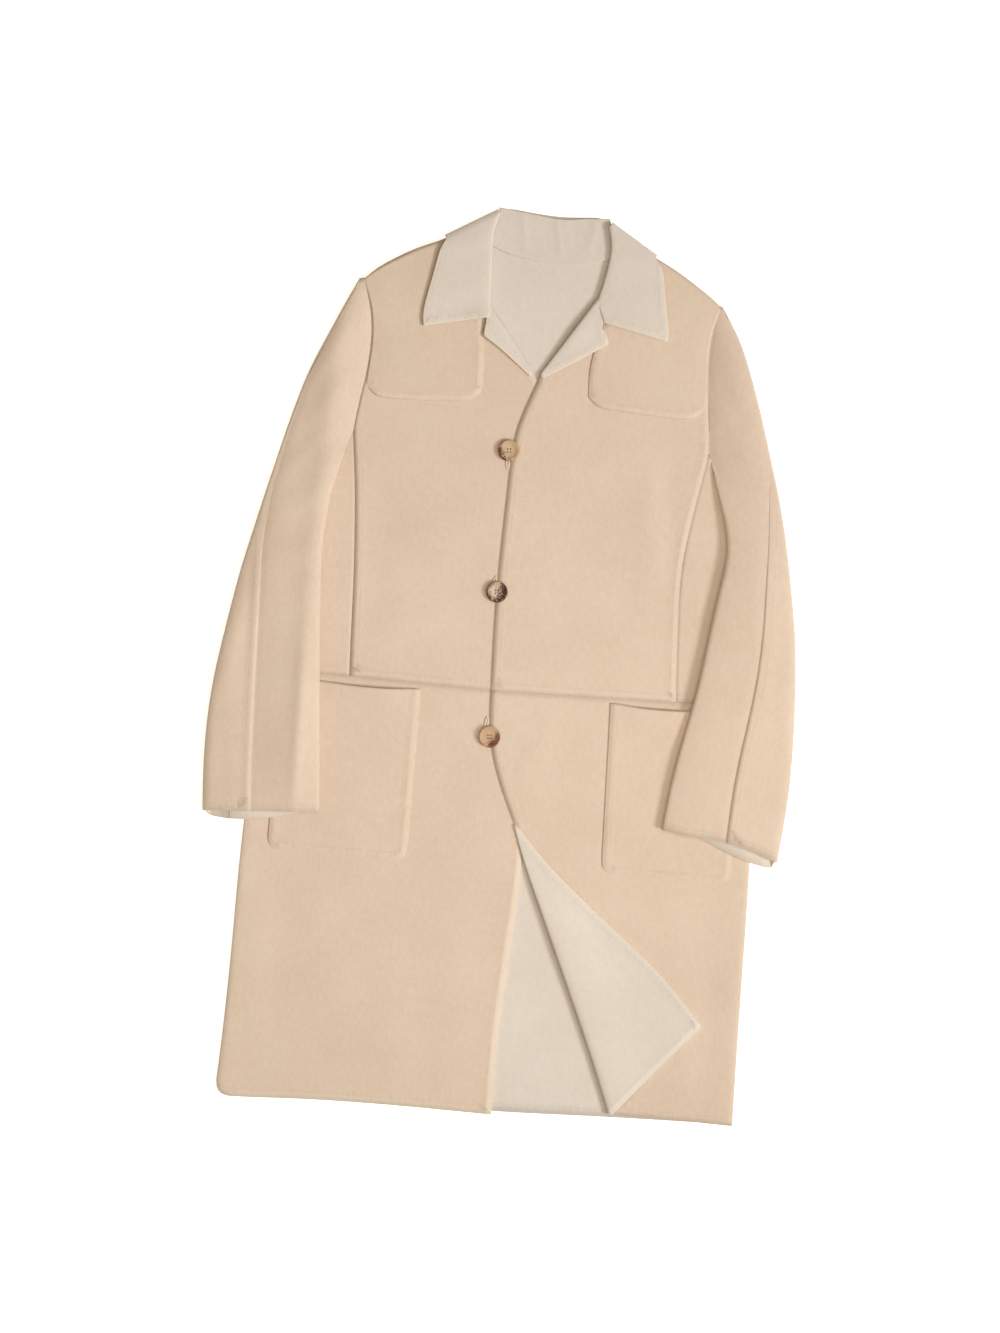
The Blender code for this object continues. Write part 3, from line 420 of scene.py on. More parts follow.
# a sheet of cloth from its rows of points: smoothed, creased, then given its thickness
def makeSheet(name, grid, look, keep=None, over=None):
    rows, columns = grid.shape[:2]
    keep = np.ones((rows - 1, columns - 1), bool) if keep is None else keep
    over = np.zeros((rows, columns)) if over is None else over
    if name.startswith("right"):   # its columns run the other way
        grid, keep, over = (values[:, ::-1] for values in (grid, keep, over))
    firsts = [i * columns + j for i, j in np.argwhere(keep).tolist()]
    faces = [(a, a + columns, a + columns + 1, a + 1) for a in firsts]
    used = sorted({index for face in faces for index in face})
    place = {index: k for k, index in enumerate(used)}
    points = grid.reshape(-1, 3)[used]
    upper = over.reshape(-1)[used]
    mesh = bpy.data.meshes.new(name)
    mesh.from_pydata((points * mm).tolist(), [], [[place[index] for index in face] for face in faces])
    sharp = np.zeros(len(points))
    for corner in look.get("corners", []):
        sharp[np.argmin(np.linalg.norm(points[:, :2] - corner, axis=1) - upper)] = 1.0
    addValues(mesh, {"over": upper, "crease_vert": sharp})
    cut = cutSize(grid, keep)
    piece = bpy.data.objects.new(name, mesh)
    bpy.context.scene.collection.objects.link(piece)
    onlySelect(piece)
    smooth = piece.modifiers.new("smooth", "SUBSURF")
    smooth.levels = smooth.render_levels = look.get("fine", wool["fine"])
    smooth.boundary_smooth = "PRESERVE_CORNERS"
    bpy.ops.object.modifier_apply(modifier="smooth")
    mesh = piece.data
    count = len(mesh.vertices)
    spots = np.empty(count * 3)
    mesh.vertices.foreach_get("co", spots)
    spots = spots.reshape(-1, 3) * 1000.0
    upper = np.empty(count)
    mesh.attributes["over"].data.foreach_get("value", upper)
    onTop = upper > 0.5
    flat = spots[:, :2].copy()
    edge, run = alongLines(flat, look.get("stitched", []))
    if "stitchedOver" in look:
        edgeOver, runOver = alongLines(flat, look["stitchedOver"])
        edge = np.where(onTop, edgeOver, edge)
        run = np.where(onTop, runOver, run)
    bare, bareOver = (alongLines(flat, look.get(key, []))[0] for key in ("openEdges", "openOver"))
    # a look's own paleTo (the sleeves') widens the pale band on the lower layer: at the cuff it is painted
    # light on the inside shaded by the upper layer
    paleTo = np.where(onTop, wool["paleTo"], look.get("paleTo", wool["paleTo"]))
    pale = 1.0 - ease(np.where(onTop, bareOver, bare), wool["paleFrom"], paleTo)
    addValues(mesh, {"edge": edge, "run": run, "pale": pale})
    share = np.maximum(upper, look["under"]) if "under" in look else 1.0
    spots[:, 2] += ridgeHeight(look.get("ridges", ["body"]), flat) * share
    if "ridgesOver" in look:
        spots[:, 2] += ridgeHeight(look["ridgesOver"], flat) * upper
    wave = run * 2 * math.pi / pucker["every"] + pucker["wander"] * np.sin(run / pucker["wanderEvery"])
    bulge = np.exp(-((edge - pucker["in"]) / pucker["wide"]) ** 2) * (0.5 + 0.5 * np.sin(wave))
    dip = look.get("dip", 0.0) * (1.0 - ease(edge, 0.0, wool["dipTo"]))
    spots[:, 2] += look.get("pucker", pucker["high"]) * bulge - dip
    spots[:, 2] = np.maximum(spots[:, 2], half)
    if "rounded" in look:
        spots[:, :2] = roundedCorner(flat, *look["rounded"])
    mesh.vertices.foreach_set("co", (spots * mm).reshape(-1))
    mesh.update()
    wall = piece.modifiers.new("wall", "SOLIDIFY")
    wall.thickness = wool["thick"] * mm
    wall.offset = 0.0
    wall.use_even_offset = True
    wall.thickness_clamp = 1.0
    wall.material_offset = 1
    wall.material_offset_rim = 2
    colours = ("cream", "beige", "cut") if look.get("face") == "cream" else ("beige", "cream", "cut")
    for colour in colours:
        mesh.materials.append(wools[colour])
    bpy.ops.object.modifier_apply(modifier="wall")
    bpy.ops.object.shade_smooth()
    for face in piece.data.polygons:
        face.use_smooth = face.material_index != 2
    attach(piece, "root")
    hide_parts(look["node"])
    print("sheet", name, "cut", [round(v, 3) for v in cut], "faces", len(piece.data.polygons))


# the flat cut of a sheet in metres, from its own rows and columns
def cutSize(grid, keep):
    area = 0.0
    for i, j in np.argwhere(keep):
        a, b, c, d = grid[i, j], grid[i + 1, j], grid[i + 1, j + 1], grid[i, j + 1]
        area += float(np.linalg.norm(np.cross(c - a, d - b))) / 2
    wide, long = (
        max(float((np.linalg.norm(np.diff(line, axis=0), axis=1) * kept).sum()) for line, kept in zip(*lines))
        for lines in ((grid, keep), (grid.swapaxes(0, 1), keep.T))
    )
    return wide * mm, long * mm, area * 1e-6


# the left hem corner and the radius it is rounded to
hemCorner = ((-302.9, -546.0), 18.0)
back = {
    "hem": [(-302, -536), (-150, -538), (30, -537), (170, -532), (320, -528)],
    "neck": [(-66, 531), (-54, 500), (-22, 486.5), (14, 483.5), (50, 486), (80, 499), (92, 529)],
    "underarm": {"left": (-213, 236), "right": (225.5, 246)}, "armIn": 1.0, "armDown": 6.0,
    "underStand": 12.0, "neckColumns": (5, 15), "sideRow": 9,
}


def buildBack():
    inset = seamInset["back"]
    shoulders = curve(shoulderLine["left"], 6), curve(shoulderLine["right"][::-1], 6)
    top = joined(shoulders[0], curve(back["neck"], 11), shoulders[1]) - (0.0, inset + shoulderMore)
    sides = {}
    for hand in out:
        shift = out[hand] * back["armIn"]
        arm = armholeFrom(hand, inset + shoulderMore, 7) - (shift, 0.0)
        under = curve([armhole[hand][-1], back["underarm"][hand], sideLine[hand][0]], 4)
        under = under - (shift, back["armDown"])
        sides[hand] = joined(arm, under, curve(sideLine[hand], 11) - (out[hand] * inset, 0.0))
    hem = curve(back["hem"], len(top))
    for hand, at in (("left", 0), ("right", -1)):
        top[at] = sides[hand][0]
        hem[at] = sides[hand][-1]
    neckFrom, neckTo = back["neckColumns"]
    top[neckFrom + 1:neckTo, 1] += back["underStand"]
    flat = patch(top, hem, sides["left"], sides["right"])
    grid = np.dstack([flat, layers["back"] + neckRise(flat[..., 1])])
    rows, columns = flat.shape[:2]
    up = np.where((np.arange(columns) <= columns // 2)[:, None], seamUp["left"], seamUp["right"])
    rim = rimLines
    full = np.zeros((rows + rim, columns + 2 * rim, 3))
    full[rim:, rim:-rim] = grid
    full[:rim, rim:-rim] = turnedRim(grid[0], up, turns["seamBack"], 1.0)[::-1]
    full[rim:, :rim] = np.stack(turnedRim(grid[:, 0], sideways["left"], turns["seamBack"], 1.0)[::-1], axis=1)
    full[rim:, -rim:] = np.stack(turnedRim(grid[:, -1], sideways["right"], turns["seamBack"], 1.0), axis=1)
    keep = np.zeros((rows + rim - 1, columns + 2 * rim - 1), bool)
    keep[:, rim:-rim] = True
    keep[:rim, rim + neckFrom:rim + neckTo] = False
    keep[rim + back["sideRow"]:] = True
    look = {"node": "back", "face": "cream", "ridges": ["back"], "stitched": [grid[-1]], "pucker": 0.0,
            "rounded": hemCorner}
    makeSheet("backPanel", full, look, keep)


front = {
    "neck": {"left": [(-60.5, 531), (-58.8, 513), (-57.3, 488), (-55.5, 462), (-55.2, 447), (-55.8, 417)],
             "right": [(84, 531), (82.3, 511), (81, 490), (77, 467), (75, 460), (72, 448)]},
    "roll": {"left": [(-55.5, 427), (3.5, 351.5)], "right": [(71, 444.5), (10, 348)]},
    "lapel": {"left": [(-62, 422), (-58, 409), (-60.8, 388.5), (-36, 372.5), (1, 343.5)],
              "right": [(87, 436), (81.6, 415.2), (90.2, 391), (56, 368.5), (13.5, 342)]},
    "edge": {"left": [(8, 341), (16, 330), (26, 316), (33, 292), (33, 130), (33, -34.5)],
             "right": [(7.5, 341), (4.5, 331), (-14.3, 267.2), (-14.7, 231), (-17.7, 86), (-14.5, -34)]},
    "neckOut": 0.3, "lapelRows": (5, 12), "bendRows": (3.0, 7.0), "stitchFrom": {"left": 9, "right": 2},
}


def buildFront(hand):
    side = out[hand]
    down = seamInset["front"] + shoulderMore
    roll = np.array(front["roll"][hand], float)
    along = unit(roll[1] - roll[0])
    toNeck = np.array((along[1], -along[0]))
    toNeck = toNeck if toNeck[1] > 0 else -toNeck
    bend = turns["lapel"] + (turns["lapelEnd"] - turns["lapel"]) * ease(np.arange(8), *front["bendRows"])
    neck = curve(front["neck"][hand], 6) + (side * (turns["collar"] + half + front["neckOut"]), 0.0)
    fold = curve(roll, 8) - toNeck * (bend + half)[:, None]
    edge = curve(front["edge"][hand], 12)
    inner = np.vstack([neck[:-1] - (0.0, down), fold, edge[1:]])
    shoulder = curve(shoulderLine[hand], 9) - (0.0, down)
    shoulder[-1] = inner[0]
    arm = armholeFrom(hand, down, 10)
    outer = joined(arm, curve(sideFrontSeam[hand], len(inner) - len(arm) + 1))
    shoulder[0] = outer[0]
    waist = curve([outer[-1], inner[-1]], len(shoulder))
    waist[:, 1] = waistY(hand, waist[:, 0])
    outer[-1] = waist[0]
    inner[-1] = waist[-1]
    grid = raised(hand, patch(shoulder, waist, outer, inner))
    first, last = front["lapelRows"]
    lapel = front["lapel"][hand]
    end = inner.copy()
    end[first:last + 1] = joined(np.array(lapel[:3], float), curve(lapel[2:], 6))
    radius = np.full(len(inner), turns["lapel"])
    radius[first:last + 1] = bend
    flap = foldLines(grid[:, -1], toNeck, radius, end,
                     lambda line: frontHeight(hand, line[:, 0], line[:, 1]) + 2 * radius, 4)
    rows, columns = grid.shape[:2]
    full = np.zeros((rows + rimLines, columns + len(flap), 3))
    full[rimLines:, :columns] = grid
    full[:rimLines, :columns] = turnedRim(grid[0], seamUp[hand], turns["seamFront"], -1.0)[::-1]
    full[rimLines:, columns:] = np.stack(flap, axis=1)
    keep = np.ones((rows + rimLines - 1, columns + len(flap) - 1), bool)
    keep[:, columns - 1:] = False
    keep[rimLines + first:rimLines + last, columns - 1:] = True
    over = np.zeros(full.shape[:2])
    over[:, columns + 3:] = 1.0
    look = {"node": "front_" + hand, "held": "folded", "on": ["back"],
            "stitched": [waist, outer[front["stitchFrom"][hand]:], inner[last:]],
            "stitchedOver": [end[first + 1:last + 1]], "corners": lapel[1:3],
            "openEdges": [inner[last:]], "openOver": [end[first + 1:last + 1]]}
    makeSheet(hand + "Front", full, look, keep, over)


def withSideRim(hand, grid):
    rim = turnedRim(grid[:, 0], sideways[hand], turns["seamFront"], -1.0)
    return np.concatenate([np.stack(rim[::-1], axis=1), grid], axis=1)


def buildSideFront(hand):
    side = out[hand]
    seam = curve(sideFrontSeam[hand], 11) - (side * wool["tuck"], 0.0)
    line = [point for point in sideLine[hand] if point[1] > 0] + [waistEnds[hand][0]]
    outer = curve(line, 11) - (side * seamInset["front"], 0.0)
    waist = curve([outer[-1], seam[-1]], 5)
    waist[:, 1] = waistY(hand, waist[:, 0])
    outer[-1] = waist[0]
    seam[-1] = waist[-1]
    grid = raised(hand, patch(curve([outer[0], seam[0]], 5), waist, outer, seam))
    grid[:, -1, 2] -= wool["tuckDown"]
    look = {"node": "side_front_" + hand, "on": ["back"], "stitched": [waist]}
    makeSheet(hand + "SideFront", withSideRim(hand, grid), look)


skirt = {
    "hem": {"left": [(-304, -546), (-283, -546.5), (-186, -541.5), (-87, -540), (30, -541)],
            "right": [(320.5, -529.5), (250, -528.5), (177, -528)]},
    "edge": [(33, -34.5), (38, -150), (40, -254), (34.6, -346), (29.1, -448), (30, -541)],
    "creaseTop": [(-14.5, -34), (-12, -89), (-3, -122), (15, -166)],
    "crease": [(25.7, -193), (43.5, -240.9), (85.4, -334.8), (136.3, -448.4), (169.9, -529.8)],
    "flapEdge": [(30.4, -192.3), (70.6, -234.9), (135.6, -289.4), (215.9, -353.5), (273, -413.5)],
    "rows": 15, "creaseRow": 4, "waistDown": 0.4, "settle": (2.0, 70.0), "pucker": 0.55,
}
skirt["creaseRows"] = skirt["rows"] - skirt["creaseRow"]


def cornerRadii():
    share = ease(np.arange(skirt["creaseRows"]), 0.0, 4.0)
    return turns["cornerEnd"] + (turns["corner"] - turns["cornerEnd"]) * share


def creaseWay():
    return unit(np.subtract(skirt["crease"][-1], skirt["crease"][0]))


def skirtFlat(hand):
    below = [point for point in sideLine[hand] if point[1] < waistEnds[hand][0][1]]
    outer = curve([waistEnds[hand][0]] + below, skirt["rows"]) - (out[hand] * seamInset["front"], 0.0)
    hem = curve(skirt["hem"][hand], 11)
    if hand == "left":
        edge = curve(skirt["edge"], skirt["rows"])
    else:
        down = creaseWay()
        crease = curve(skirt["crease"], skirt["creaseRows"])
        crease = crease + np.array((-down[1], down[0])) * (cornerRadii() + half)[:, None]
        edge = joined(curve(skirt["creaseTop"] + [tuple(crease[0])], skirt["creaseRow"] + 1), crease)
    waist = curve([outer[0], edge[0]], len(hem))
    waist[:, 1] = waistY(hand, waist[:, 0]) + wool["tuck"]
    outer[0] = waist[0]
    edge[0] = waist[-1]
    hem[0] = outer[-1]
    hem[-1] = edge[-1]
    return patch(waist, hem, outer, edge)


def buildSkirts():
    grid = raised("left", skirtFlat("left"))
    grid[0, :, 2] -= skirt["waistDown"]
    look = {"node": "skirt_left", "on": ["back"], "stitched": [grid[:, -1], grid[-1]],
            "openEdges": [grid[:, -1], grid[-1]], "pucker": skirt["pucker"], "rounded": hemCorner}
    makeSheet("leftSkirt", withSideRim("left", grid), look)
    grid = raised("right", skirtFlat("right"))
    grid[0, :, 2] -= skirt["waistDown"]
    edge = grid[:, -1]
    down = creaseWay()
    start = skirt["creaseRow"]
    end = edge[:, :2].copy()
    end[start:] = curve(skirt["flapEdge"], skirt["creaseRows"])
    radius = np.full(len(edge), turns["cornerEnd"])
    radius[start:] = cornerRadii()

    def settled(line):
        away = np.linalg.norm(line[:, :2] - edge[:, :2], axis=1)
        lift = (2 * radius - layers["step"] - layers["clear"]) * (1.0 - ease(away, *skirt["settle"]))
        return frontHeight("right", line[:, 0], line[:, 1]) + layers["step"] + layers["clear"] + lift

    flap = foldLines(edge, np.array((down[1], -down[0])), radius, end, settled, 7)
    body = withSideRim("right", grid)
    full = np.concatenate([body, np.stack(flap, axis=1)], axis=1)
    keep = np.ones((full.shape[0] - 1, full.shape[1] - 1), bool)
    columns = body.shape[1]
    keep[:start, columns - 1:] = False
    over = np.zeros(full.shape[:2])
    over[:, columns + 3:] = 1.0
    flapEdges = [end[start:], full[-1, columns + 4:]]
    look = {"node": "skirt_right", "held": "folded", "on": ["back", "skirt_left"], "ridgesOver": ["flap"],
            "pucker": skirt["pucker"], "stitched": [edge[:start + 1], grid[-1]], "stitchedOver": flapEdges,
            "openEdges": [edge[:start + 1]], "openOver": flapEdges}
    makeSheet("rightSkirt", full, look, keep, over)


yoke = {
    "left": {"inner": [(-82, 505), (-63, 405), (-58.3, 375), (-56.5, 324)],
             "lower": [(-63, 311), (-118, 305), (-170, 303.5), (-188, 306), (-197, 317)]},
    "right": {"inner": [(106, 505), (82, 410), (69.5, 372), (71.4, 326)],
              "lower": [(78, 315), (130, 311), (180, 308.5), (203, 310.5), (212.5, 319)]},
    # its seamed edges stop short of the seams and sink into them
    "topIn": 1.0, "armIn": 1.5, "armTo": 320.0, "topDown": 2.0, "armDown": 1.4, "dip": 1.4,
}


def buildYoke(hand):
    table = yoke[hand]
    inner = curve(table["inner"], 7)
    lower = curve([table["inner"][-1]] + table["lower"], 9)[::-1]
    arm = [point for point in armhole[hand] if point[1] > yoke["armTo"]] + [table["lower"][-1]]
    outer = curve(arm, 7) - (out[hand] * yoke["armIn"], 0.0)
    top = curve([(outer[0][0], 0.0), (inner[0][0], 0.0)], 9)
    top[:, 1] = shoulderY(hand, top[:, 0]) - (seamInset["front"] + yoke["topIn"])
    outer[0], inner[0] = top[0], top[-1]
    lower[0], lower[-1] = outer[-1], inner[-1]
    grid = raised(hand, patch(top, lower, outer, inner), layers["laidOn"])
    grid[0, :, 2] -= yoke["topDown"]
    grid[:, 0, 2] -= yoke["armDown"]
    look = {"node": "yoke_" + hand, "dip": yoke["dip"], "on": ["front_" + hand], "fine": 3,
            "stitched": [inner, lower]}
    makeSheet(hand + "Yoke", grid, look)


pocket = {
    "left": {"top": (-264, -98.5, -40), "bottom": (-266, -98, -246.5)},
    "right": {"top": (285, 129.5, -37), "bottom": (291, 136, -241.5)},
    "mouth": 4.6, "sag": 3.4, "corner": 13.0, "dip": 1.3,
    # shares of its width and depth between which the mouth opens, closes and fades
    "opens": (0.12, 0.6), "closes": (0.72, 1.0), "fades": (0.0, 0.25),
}


def buildPocket(hand):
    outerTop, innerTop, topY = pocket[hand]["top"]
    outerLow, innerLow, lowY = pocket[hand]["bottom"]
    u = np.linspace(0.0, 1.0, 13)[None, :]
    turn = np.radians((22.5, 45.0, 67.5, 90.0))
    corner = pocket["corner"]
    deep = topY - lowY
    straight = np.linspace(0.0, 1.0 - corner / deep, 10)
    v = np.concatenate([straight, 1.0 - (1.0 - np.sin(turn)) * corner / deep])[:, None]
    taken = np.concatenate([np.zeros(len(straight)), (1.0 - np.cos(turn)) * corner])[:, None] * out[hand]
    left = blend(outerTop, outerLow, v) - taken
    right = blend(innerTop, innerLow, v) + taken
    x = left + (right - left) * u
    gape = ease(u, *pocket["opens"]) * (1.0 - ease(u, *pocket["closes"])) * (1.0 - ease(v, *pocket["fades"]))
    y = topY - deep * v - pocket["sag"] * gape
    grid = np.dstack([x, y, frontHeight(hand, x, y) + layers["laidOn"] + pocket["mouth"] * gape])
    look = {"node": "pocket_" + hand, "dip": pocket["dip"], "on": ["skirt_" + hand],
            "stitched": [grid[-1], grid[:, 0], grid[:, -1]], "fine": 3}
    makeSheet(hand + "Pocket", grid, look)


# sleeve rows from shoulder to cuff: outer edge, inner edge, how far in from the outer edge the seam is,
# and how much of the row lies over the body
sleeve = {
    "left": [
        (-215.5, 443.5, -206.5, 445.5, 4, 0), (-231, 411, -197.5, 408, 6, 0), (-246, 376, -193.5, 373, 6, 0),
        (-266, 331, -196, 333, 6, 0), (-277, 293, -200.5, 305, 6, 0), (-287, 256, -206.5, 262, 6.5, 0),
        (-293, 231, -212, 237, 7, 0.6), (-299, 205, -217.5, 217, 8, 1), (-307, 172, -226, 180, 9, 1),
        (-320, 114, -229.4, 130, 18, 1), (-328, 80, -229, 94, 27, 1), (-341, 0, -222.5, 10, 43, 1),
        (-350, -61, -217, -58, 54, 1), (-352.3, -137, -210, -137, 59, 1), (-347, -207, -205, -197, 59, 1),
    ],
    "right": [
        (224, 446.5, 217, 449, 4, 0), (247, 412, 212.5, 412, 6, 0), (262, 376, 211.5, 378, 6, 0),
        (279, 328, 213.5, 345, 6, 0), (290, 293, 217, 312, 6, 0), (301, 257, 221.5, 271, 8, 0),
        (308, 234, 227, 248, 11.5, 0.7), (316, 204, 238, 216, 17.5, 1), (326, 161, 255.5, 161, 24.5, 1),
        (336, 108, 247.5, 116, 34, 1), (345, 58, 240, 66, 41, 1), (350.6, -7, 232, -8, 50, 1),
        (353, -70, 219, -69, 62, 1), (353.7, -125, 208.5, -126, 70, 1), (346, -211, 203, -182, 66, 1),
    ],
    # seams under the arm and along the top
    "underarm": 16.0, "seamLevel": 0.3, "seamDown": {"left": 0.7, "right": 0.45}, "seamRow": 4,
    # the inner roll is thin at the underarm, grows over some rows and swells about one
    "thin": 0.35, "rollRows": {"left": (5.5, 9.0), "right": (4.5, 8.5)},
    "swell": {"left": 0.0, "right": 0.5}, "swellRows": (9.0, 2.0),
    # fullness of the upper layer, the cuff's longer lower layer and the valley at the armhole
    "full": 3.6, "slack": 0.35, "fullRows": (-0.5, 2.0), "bulge": 0.55, "level": 0.2,
    "cuffRow": 13, "cuffFull": 4.0, "cuffDrop": {"left": 10.5, "right": 15.0}, "cuffShape": (0.8, 0.6),
    "cuffReach": {"left": 0.8, "right": 0.62}, "cuffBow": {"left": 0.0, "right": 7.0}, "bowTo": 0.8,
    "valley": {"left": 0.6, "right": 3.6}, "valleyRows": (0.5, 4.0), "capRows": (-2.0, 2.0), "armIn": 2.0,
    # points across a row
    "topPoints": 9, "backPoints": 4, "second": (5.0, 0.1), "spacing": 1.5, "endDown": 0.3, "endShort": 1.0,
    # how the lower layer lies over the pocket and comes off the body, its share of the ridges, and paleTo:
    # the lighter cut-edge colour spread 18 mm over the cuff's inside, painted light on that shaded crescent
    "pocketClear": 0.2, "pocketTop": (-18.0, 40.0), "offBody": (4.0, 33.0), "under": 0.15, "paleTo": 18.0,
}


# the sleeve's lower layer lies over the body, then comes down to the floor outside it
def sleeveFloor(hand, x, y):
    beyond = out[hand] * (x - sideX(hand, y))
    lift = layers["seamLift"] * (1.0 - ease(-beyond, layers["seamFlat"], layers["settle"]))
    over = layers["front"] + layers["step"] + layers["clear"] + lift
    over = over + (layers["laidOn"] + sleeve["pocketClear"]) * (1.0 - ease(y, *sleeve["pocketTop"]))
    return layers["back"] + (over - layers["back"]) * (1.0 - ease(beyond, *sleeve["offBody"]))


def clipped(share, end=1.0):
    return min(max(share, 0.0) / end, 1.0)


def buildSleeve(hand):
    side = out[hand]
    topPoints, backPoints = sleeve["topPoints"], sleeve["backPoints"]
    frontRows, backRows, wraps = [], [], []
    for number, (outerX, outerY, innerX, innerY, seamIn, overBody) in enumerate(sleeve[hand]):
        outer = np.array((outerX, outerY), float)
        inner = np.array((innerX, innerY), float)
        width = np.linalg.norm(inner - outer)
        across = (inner - outer) / width
        wrap = overBody > 0.0
        grown = ease(number, *sleeve["rollRows"][hand])
        radius = turns["sleeve"] * (sleeve["thin"] + (1.0 - sleeve["thin"]) * grown if wrap else 1.0)
        middle, spread = sleeve["swellRows"]
        radius *= 1.0 + sleeve["swell"][hand] * math.exp(-((number - middle) / spread) ** 2)
        near = (radius + half) / width
        far = 1.0 - near if wrap else 1.0 + wool["tuck"] / width
        full = sleeve["cuffFull"]
        if number < sleeve["cuffRow"]:
            slack = 1.0 + sleeve["slack"] - sleeve["slack"] * overBody
            full = sleeve["full"] * slack * ease(number, *sleeve["fullRows"])
        last = number == len(sleeve[hand]) - 1
        drop, bow = (sleeve[key][hand] * last for key in ("cuffDrop", "cuffBow"))
        seam = seamIn / width
        valley = wool["tuckDown"] + sleeve["valley"][hand] * ease(number, *sleeve["valleyRows"])
        armHeight = frontHeight(hand, *(inner - (side * sleeve["armIn"], 0.0)))

        def between(share):
            spot = outer + (inner - outer) * share
            spot[1] += bow * math.sin(math.pi * clipped(share, sleeve["bowTo"]))
            return spot

        def top(share):
            spot = between(share)
            onBody = blend(sleeveFloor(hand, *inner), sleeveFloor(hand, *spot), sleeve["level"]) + 2 * radius
            cap = layers["back"] + neckRise(spot[1]) + 2 * radius * ease(number, *sleeve["capRows"])
            cap = blend(cap, armHeight - valley, share)
            bulge = full * math.sin(math.pi * clipped(share)) ** sleeve["bulge"]
            return (*spot, blend(cap, onBody, overBody) + bulge)

        def floor(share):
            spot = between(share)
            lean, power = sleeve["cuffShape"]
            spot[1] -= drop * math.sin(math.pi * clipped(share, sleeve["cuffReach"][hand]) ** lean) ** power
            return (*spot, sleeveFloor(hand, *spot) if wrap else layers["back"] + neckRise(spot[1]))

        def turn(spot, way, angle):
            x, y = spot[:2] + way * radius * math.sin(angle)
            return (x, y, spot[2] - radius * (1.0 - math.cos(angle)))

        begin = seam - wool["tuck"] / width
        step, part = sleeve["second"]
        line = [top(begin), top(begin + min(step / width, part * (far - begin)))]
        for share in np.linspace(0.0, 1.0, topPoints - 1)[1:]:
            line.append(top(far - (far - begin) * (1.0 - share) ** sleeve["spacing"]))
        line[0] = (*line[0][:2], line[0][2] - sleeve["seamDown"][hand])
        line += [turn(np.array(line[-1]), across, angle) for angle in halfTurn]
        seamX = sideX(hand, blend(outerY, innerY, sleeve["seamLevel"])) + side * sleeve["underarm"]
        ends = np.clip((seamX - outerX) / (innerX - outerX), near, 1.0)
        line += [floor(share) for share in np.linspace(far, ends - wool["tuck"] / width, 7)[1:]]
        line[-1] = (*line[-1][:2], line[-1][2] - sleeve["endDown"])
        frontRows.append(line)
        wraps.append(wrap)
        line = [top(share) for share in np.linspace(seam, near, backPoints)]
        line += [turn(np.array(line[-1]), -across, angle) for angle in halfTurn]
        ends = ends if wrap else 1.0 - sleeve["endShort"] / width
        line += [floor(share) for share in np.linspace(near, ends, 8)[1:]]
        backRows.append(line)
    upper, under = np.array(frontRows), np.array(backRows)
    keep = np.ones((len(upper) - 1, upper.shape[1] - 1), bool)
    keep[:, topPoints - 1:] = np.array(wraps)[:-1, None]
    over = np.zeros(upper.shape[:2])
    over[:, :topPoints] = 1.0
    overUnder = np.zeros(under.shape[:2])
    overUnder[:, :backPoints] = 1.0
    # the lower layer's cuff line is an open edge: its pale cut-edge colour runs wide over the cuff's shaded
    # inside as painted light
    look = {"node": "sleeve_front_" + hand, "held": "folded", "under": sleeve["under"], "ridges": [hand],
            "on": ["front_" + hand, "side_front_" + hand, "skirt_" + hand], "paleTo": sleeve["paleTo"],
            "stitchedOver": [upper[-1, :topPoints + 3]], "openEdges": [upper[-1, topPoints + 5:]]}
    lookUnder = dict(look, node="sleeve_back_" + hand, on=["sleeve_front_" + hand],
                     stitchedOver=[under[-1, :backPoints + 3], under[sleeve["seamRow"]:, 0]],
                     openEdges=[under[-1, backPoints + 5:]])
    makeSheet(hand + "SleeveFront", upper, look, keep, over)
    makeSheet(hand + "SleeveBack", under[:, ::-1], lookUnder, None, overUnder[:, ::-1])


# collar stations from the left end round the back to the right end
collar = {
    "standStep": 2.3, "lift": 0.5, "leftEndUp": (3.0, 2.1, 0.7), "rightEndUp": (-0.7, -0.7, -0.7),
    "middle": 14.0, "topTo": 520.0, "foldTo": 500.0, "curl": 1.5, "foldTurn": (0.0, 45.0, 90.0, 135.0, 180.0),
    # each has its place on the roll, its place on the outer edge and its layer
    "stations": [
        (-53.4, 410, -132.8, 393.4, "top"), (-54.2, 427, -136.4, 408, "top"),
        (-55.2, 455, -130.5, 438, "top"), (-57.3, 488, -124.5, 468, "top"), (-58.8, 513, -121.5, 488, "top"),
        (-57, 542, -117.5, 506, "fold"), (-48, 545, -88, 480, "under"), (-30, 543.5, -45, 475, "under"),
        (16, 538.5, 14, 471, "under"), (60, 542.5, 70, 475, "under"), (68, 543, 94, 479, "under"),
        (83, 538.5, 140, 503.5, "fold"), (82.3, 511, 147.3, 487, "top"), (81, 490, 150, 466, "top"),
        (77, 467, 155, 438, "top"), (74.5, 456, 161, 412, "top"), (69.5, 437, 159.5, 399.2, "top"),
    ],
    "rightEnd": [
        (73.6, 437), (77, 427), (81.2, 415.4), (100, 411.5), (120, 407.5), (140, 403.3), (159.5, 399.2),
    ],
    "standTop": [(-54, 543.5), (-20, 540), (20, 535.5), (48, 539), (79, 541)],
    "standFoot": [(-62, 498), (-31, 486.3), (16, 483.2), (56, 485), (90, 495)],
}


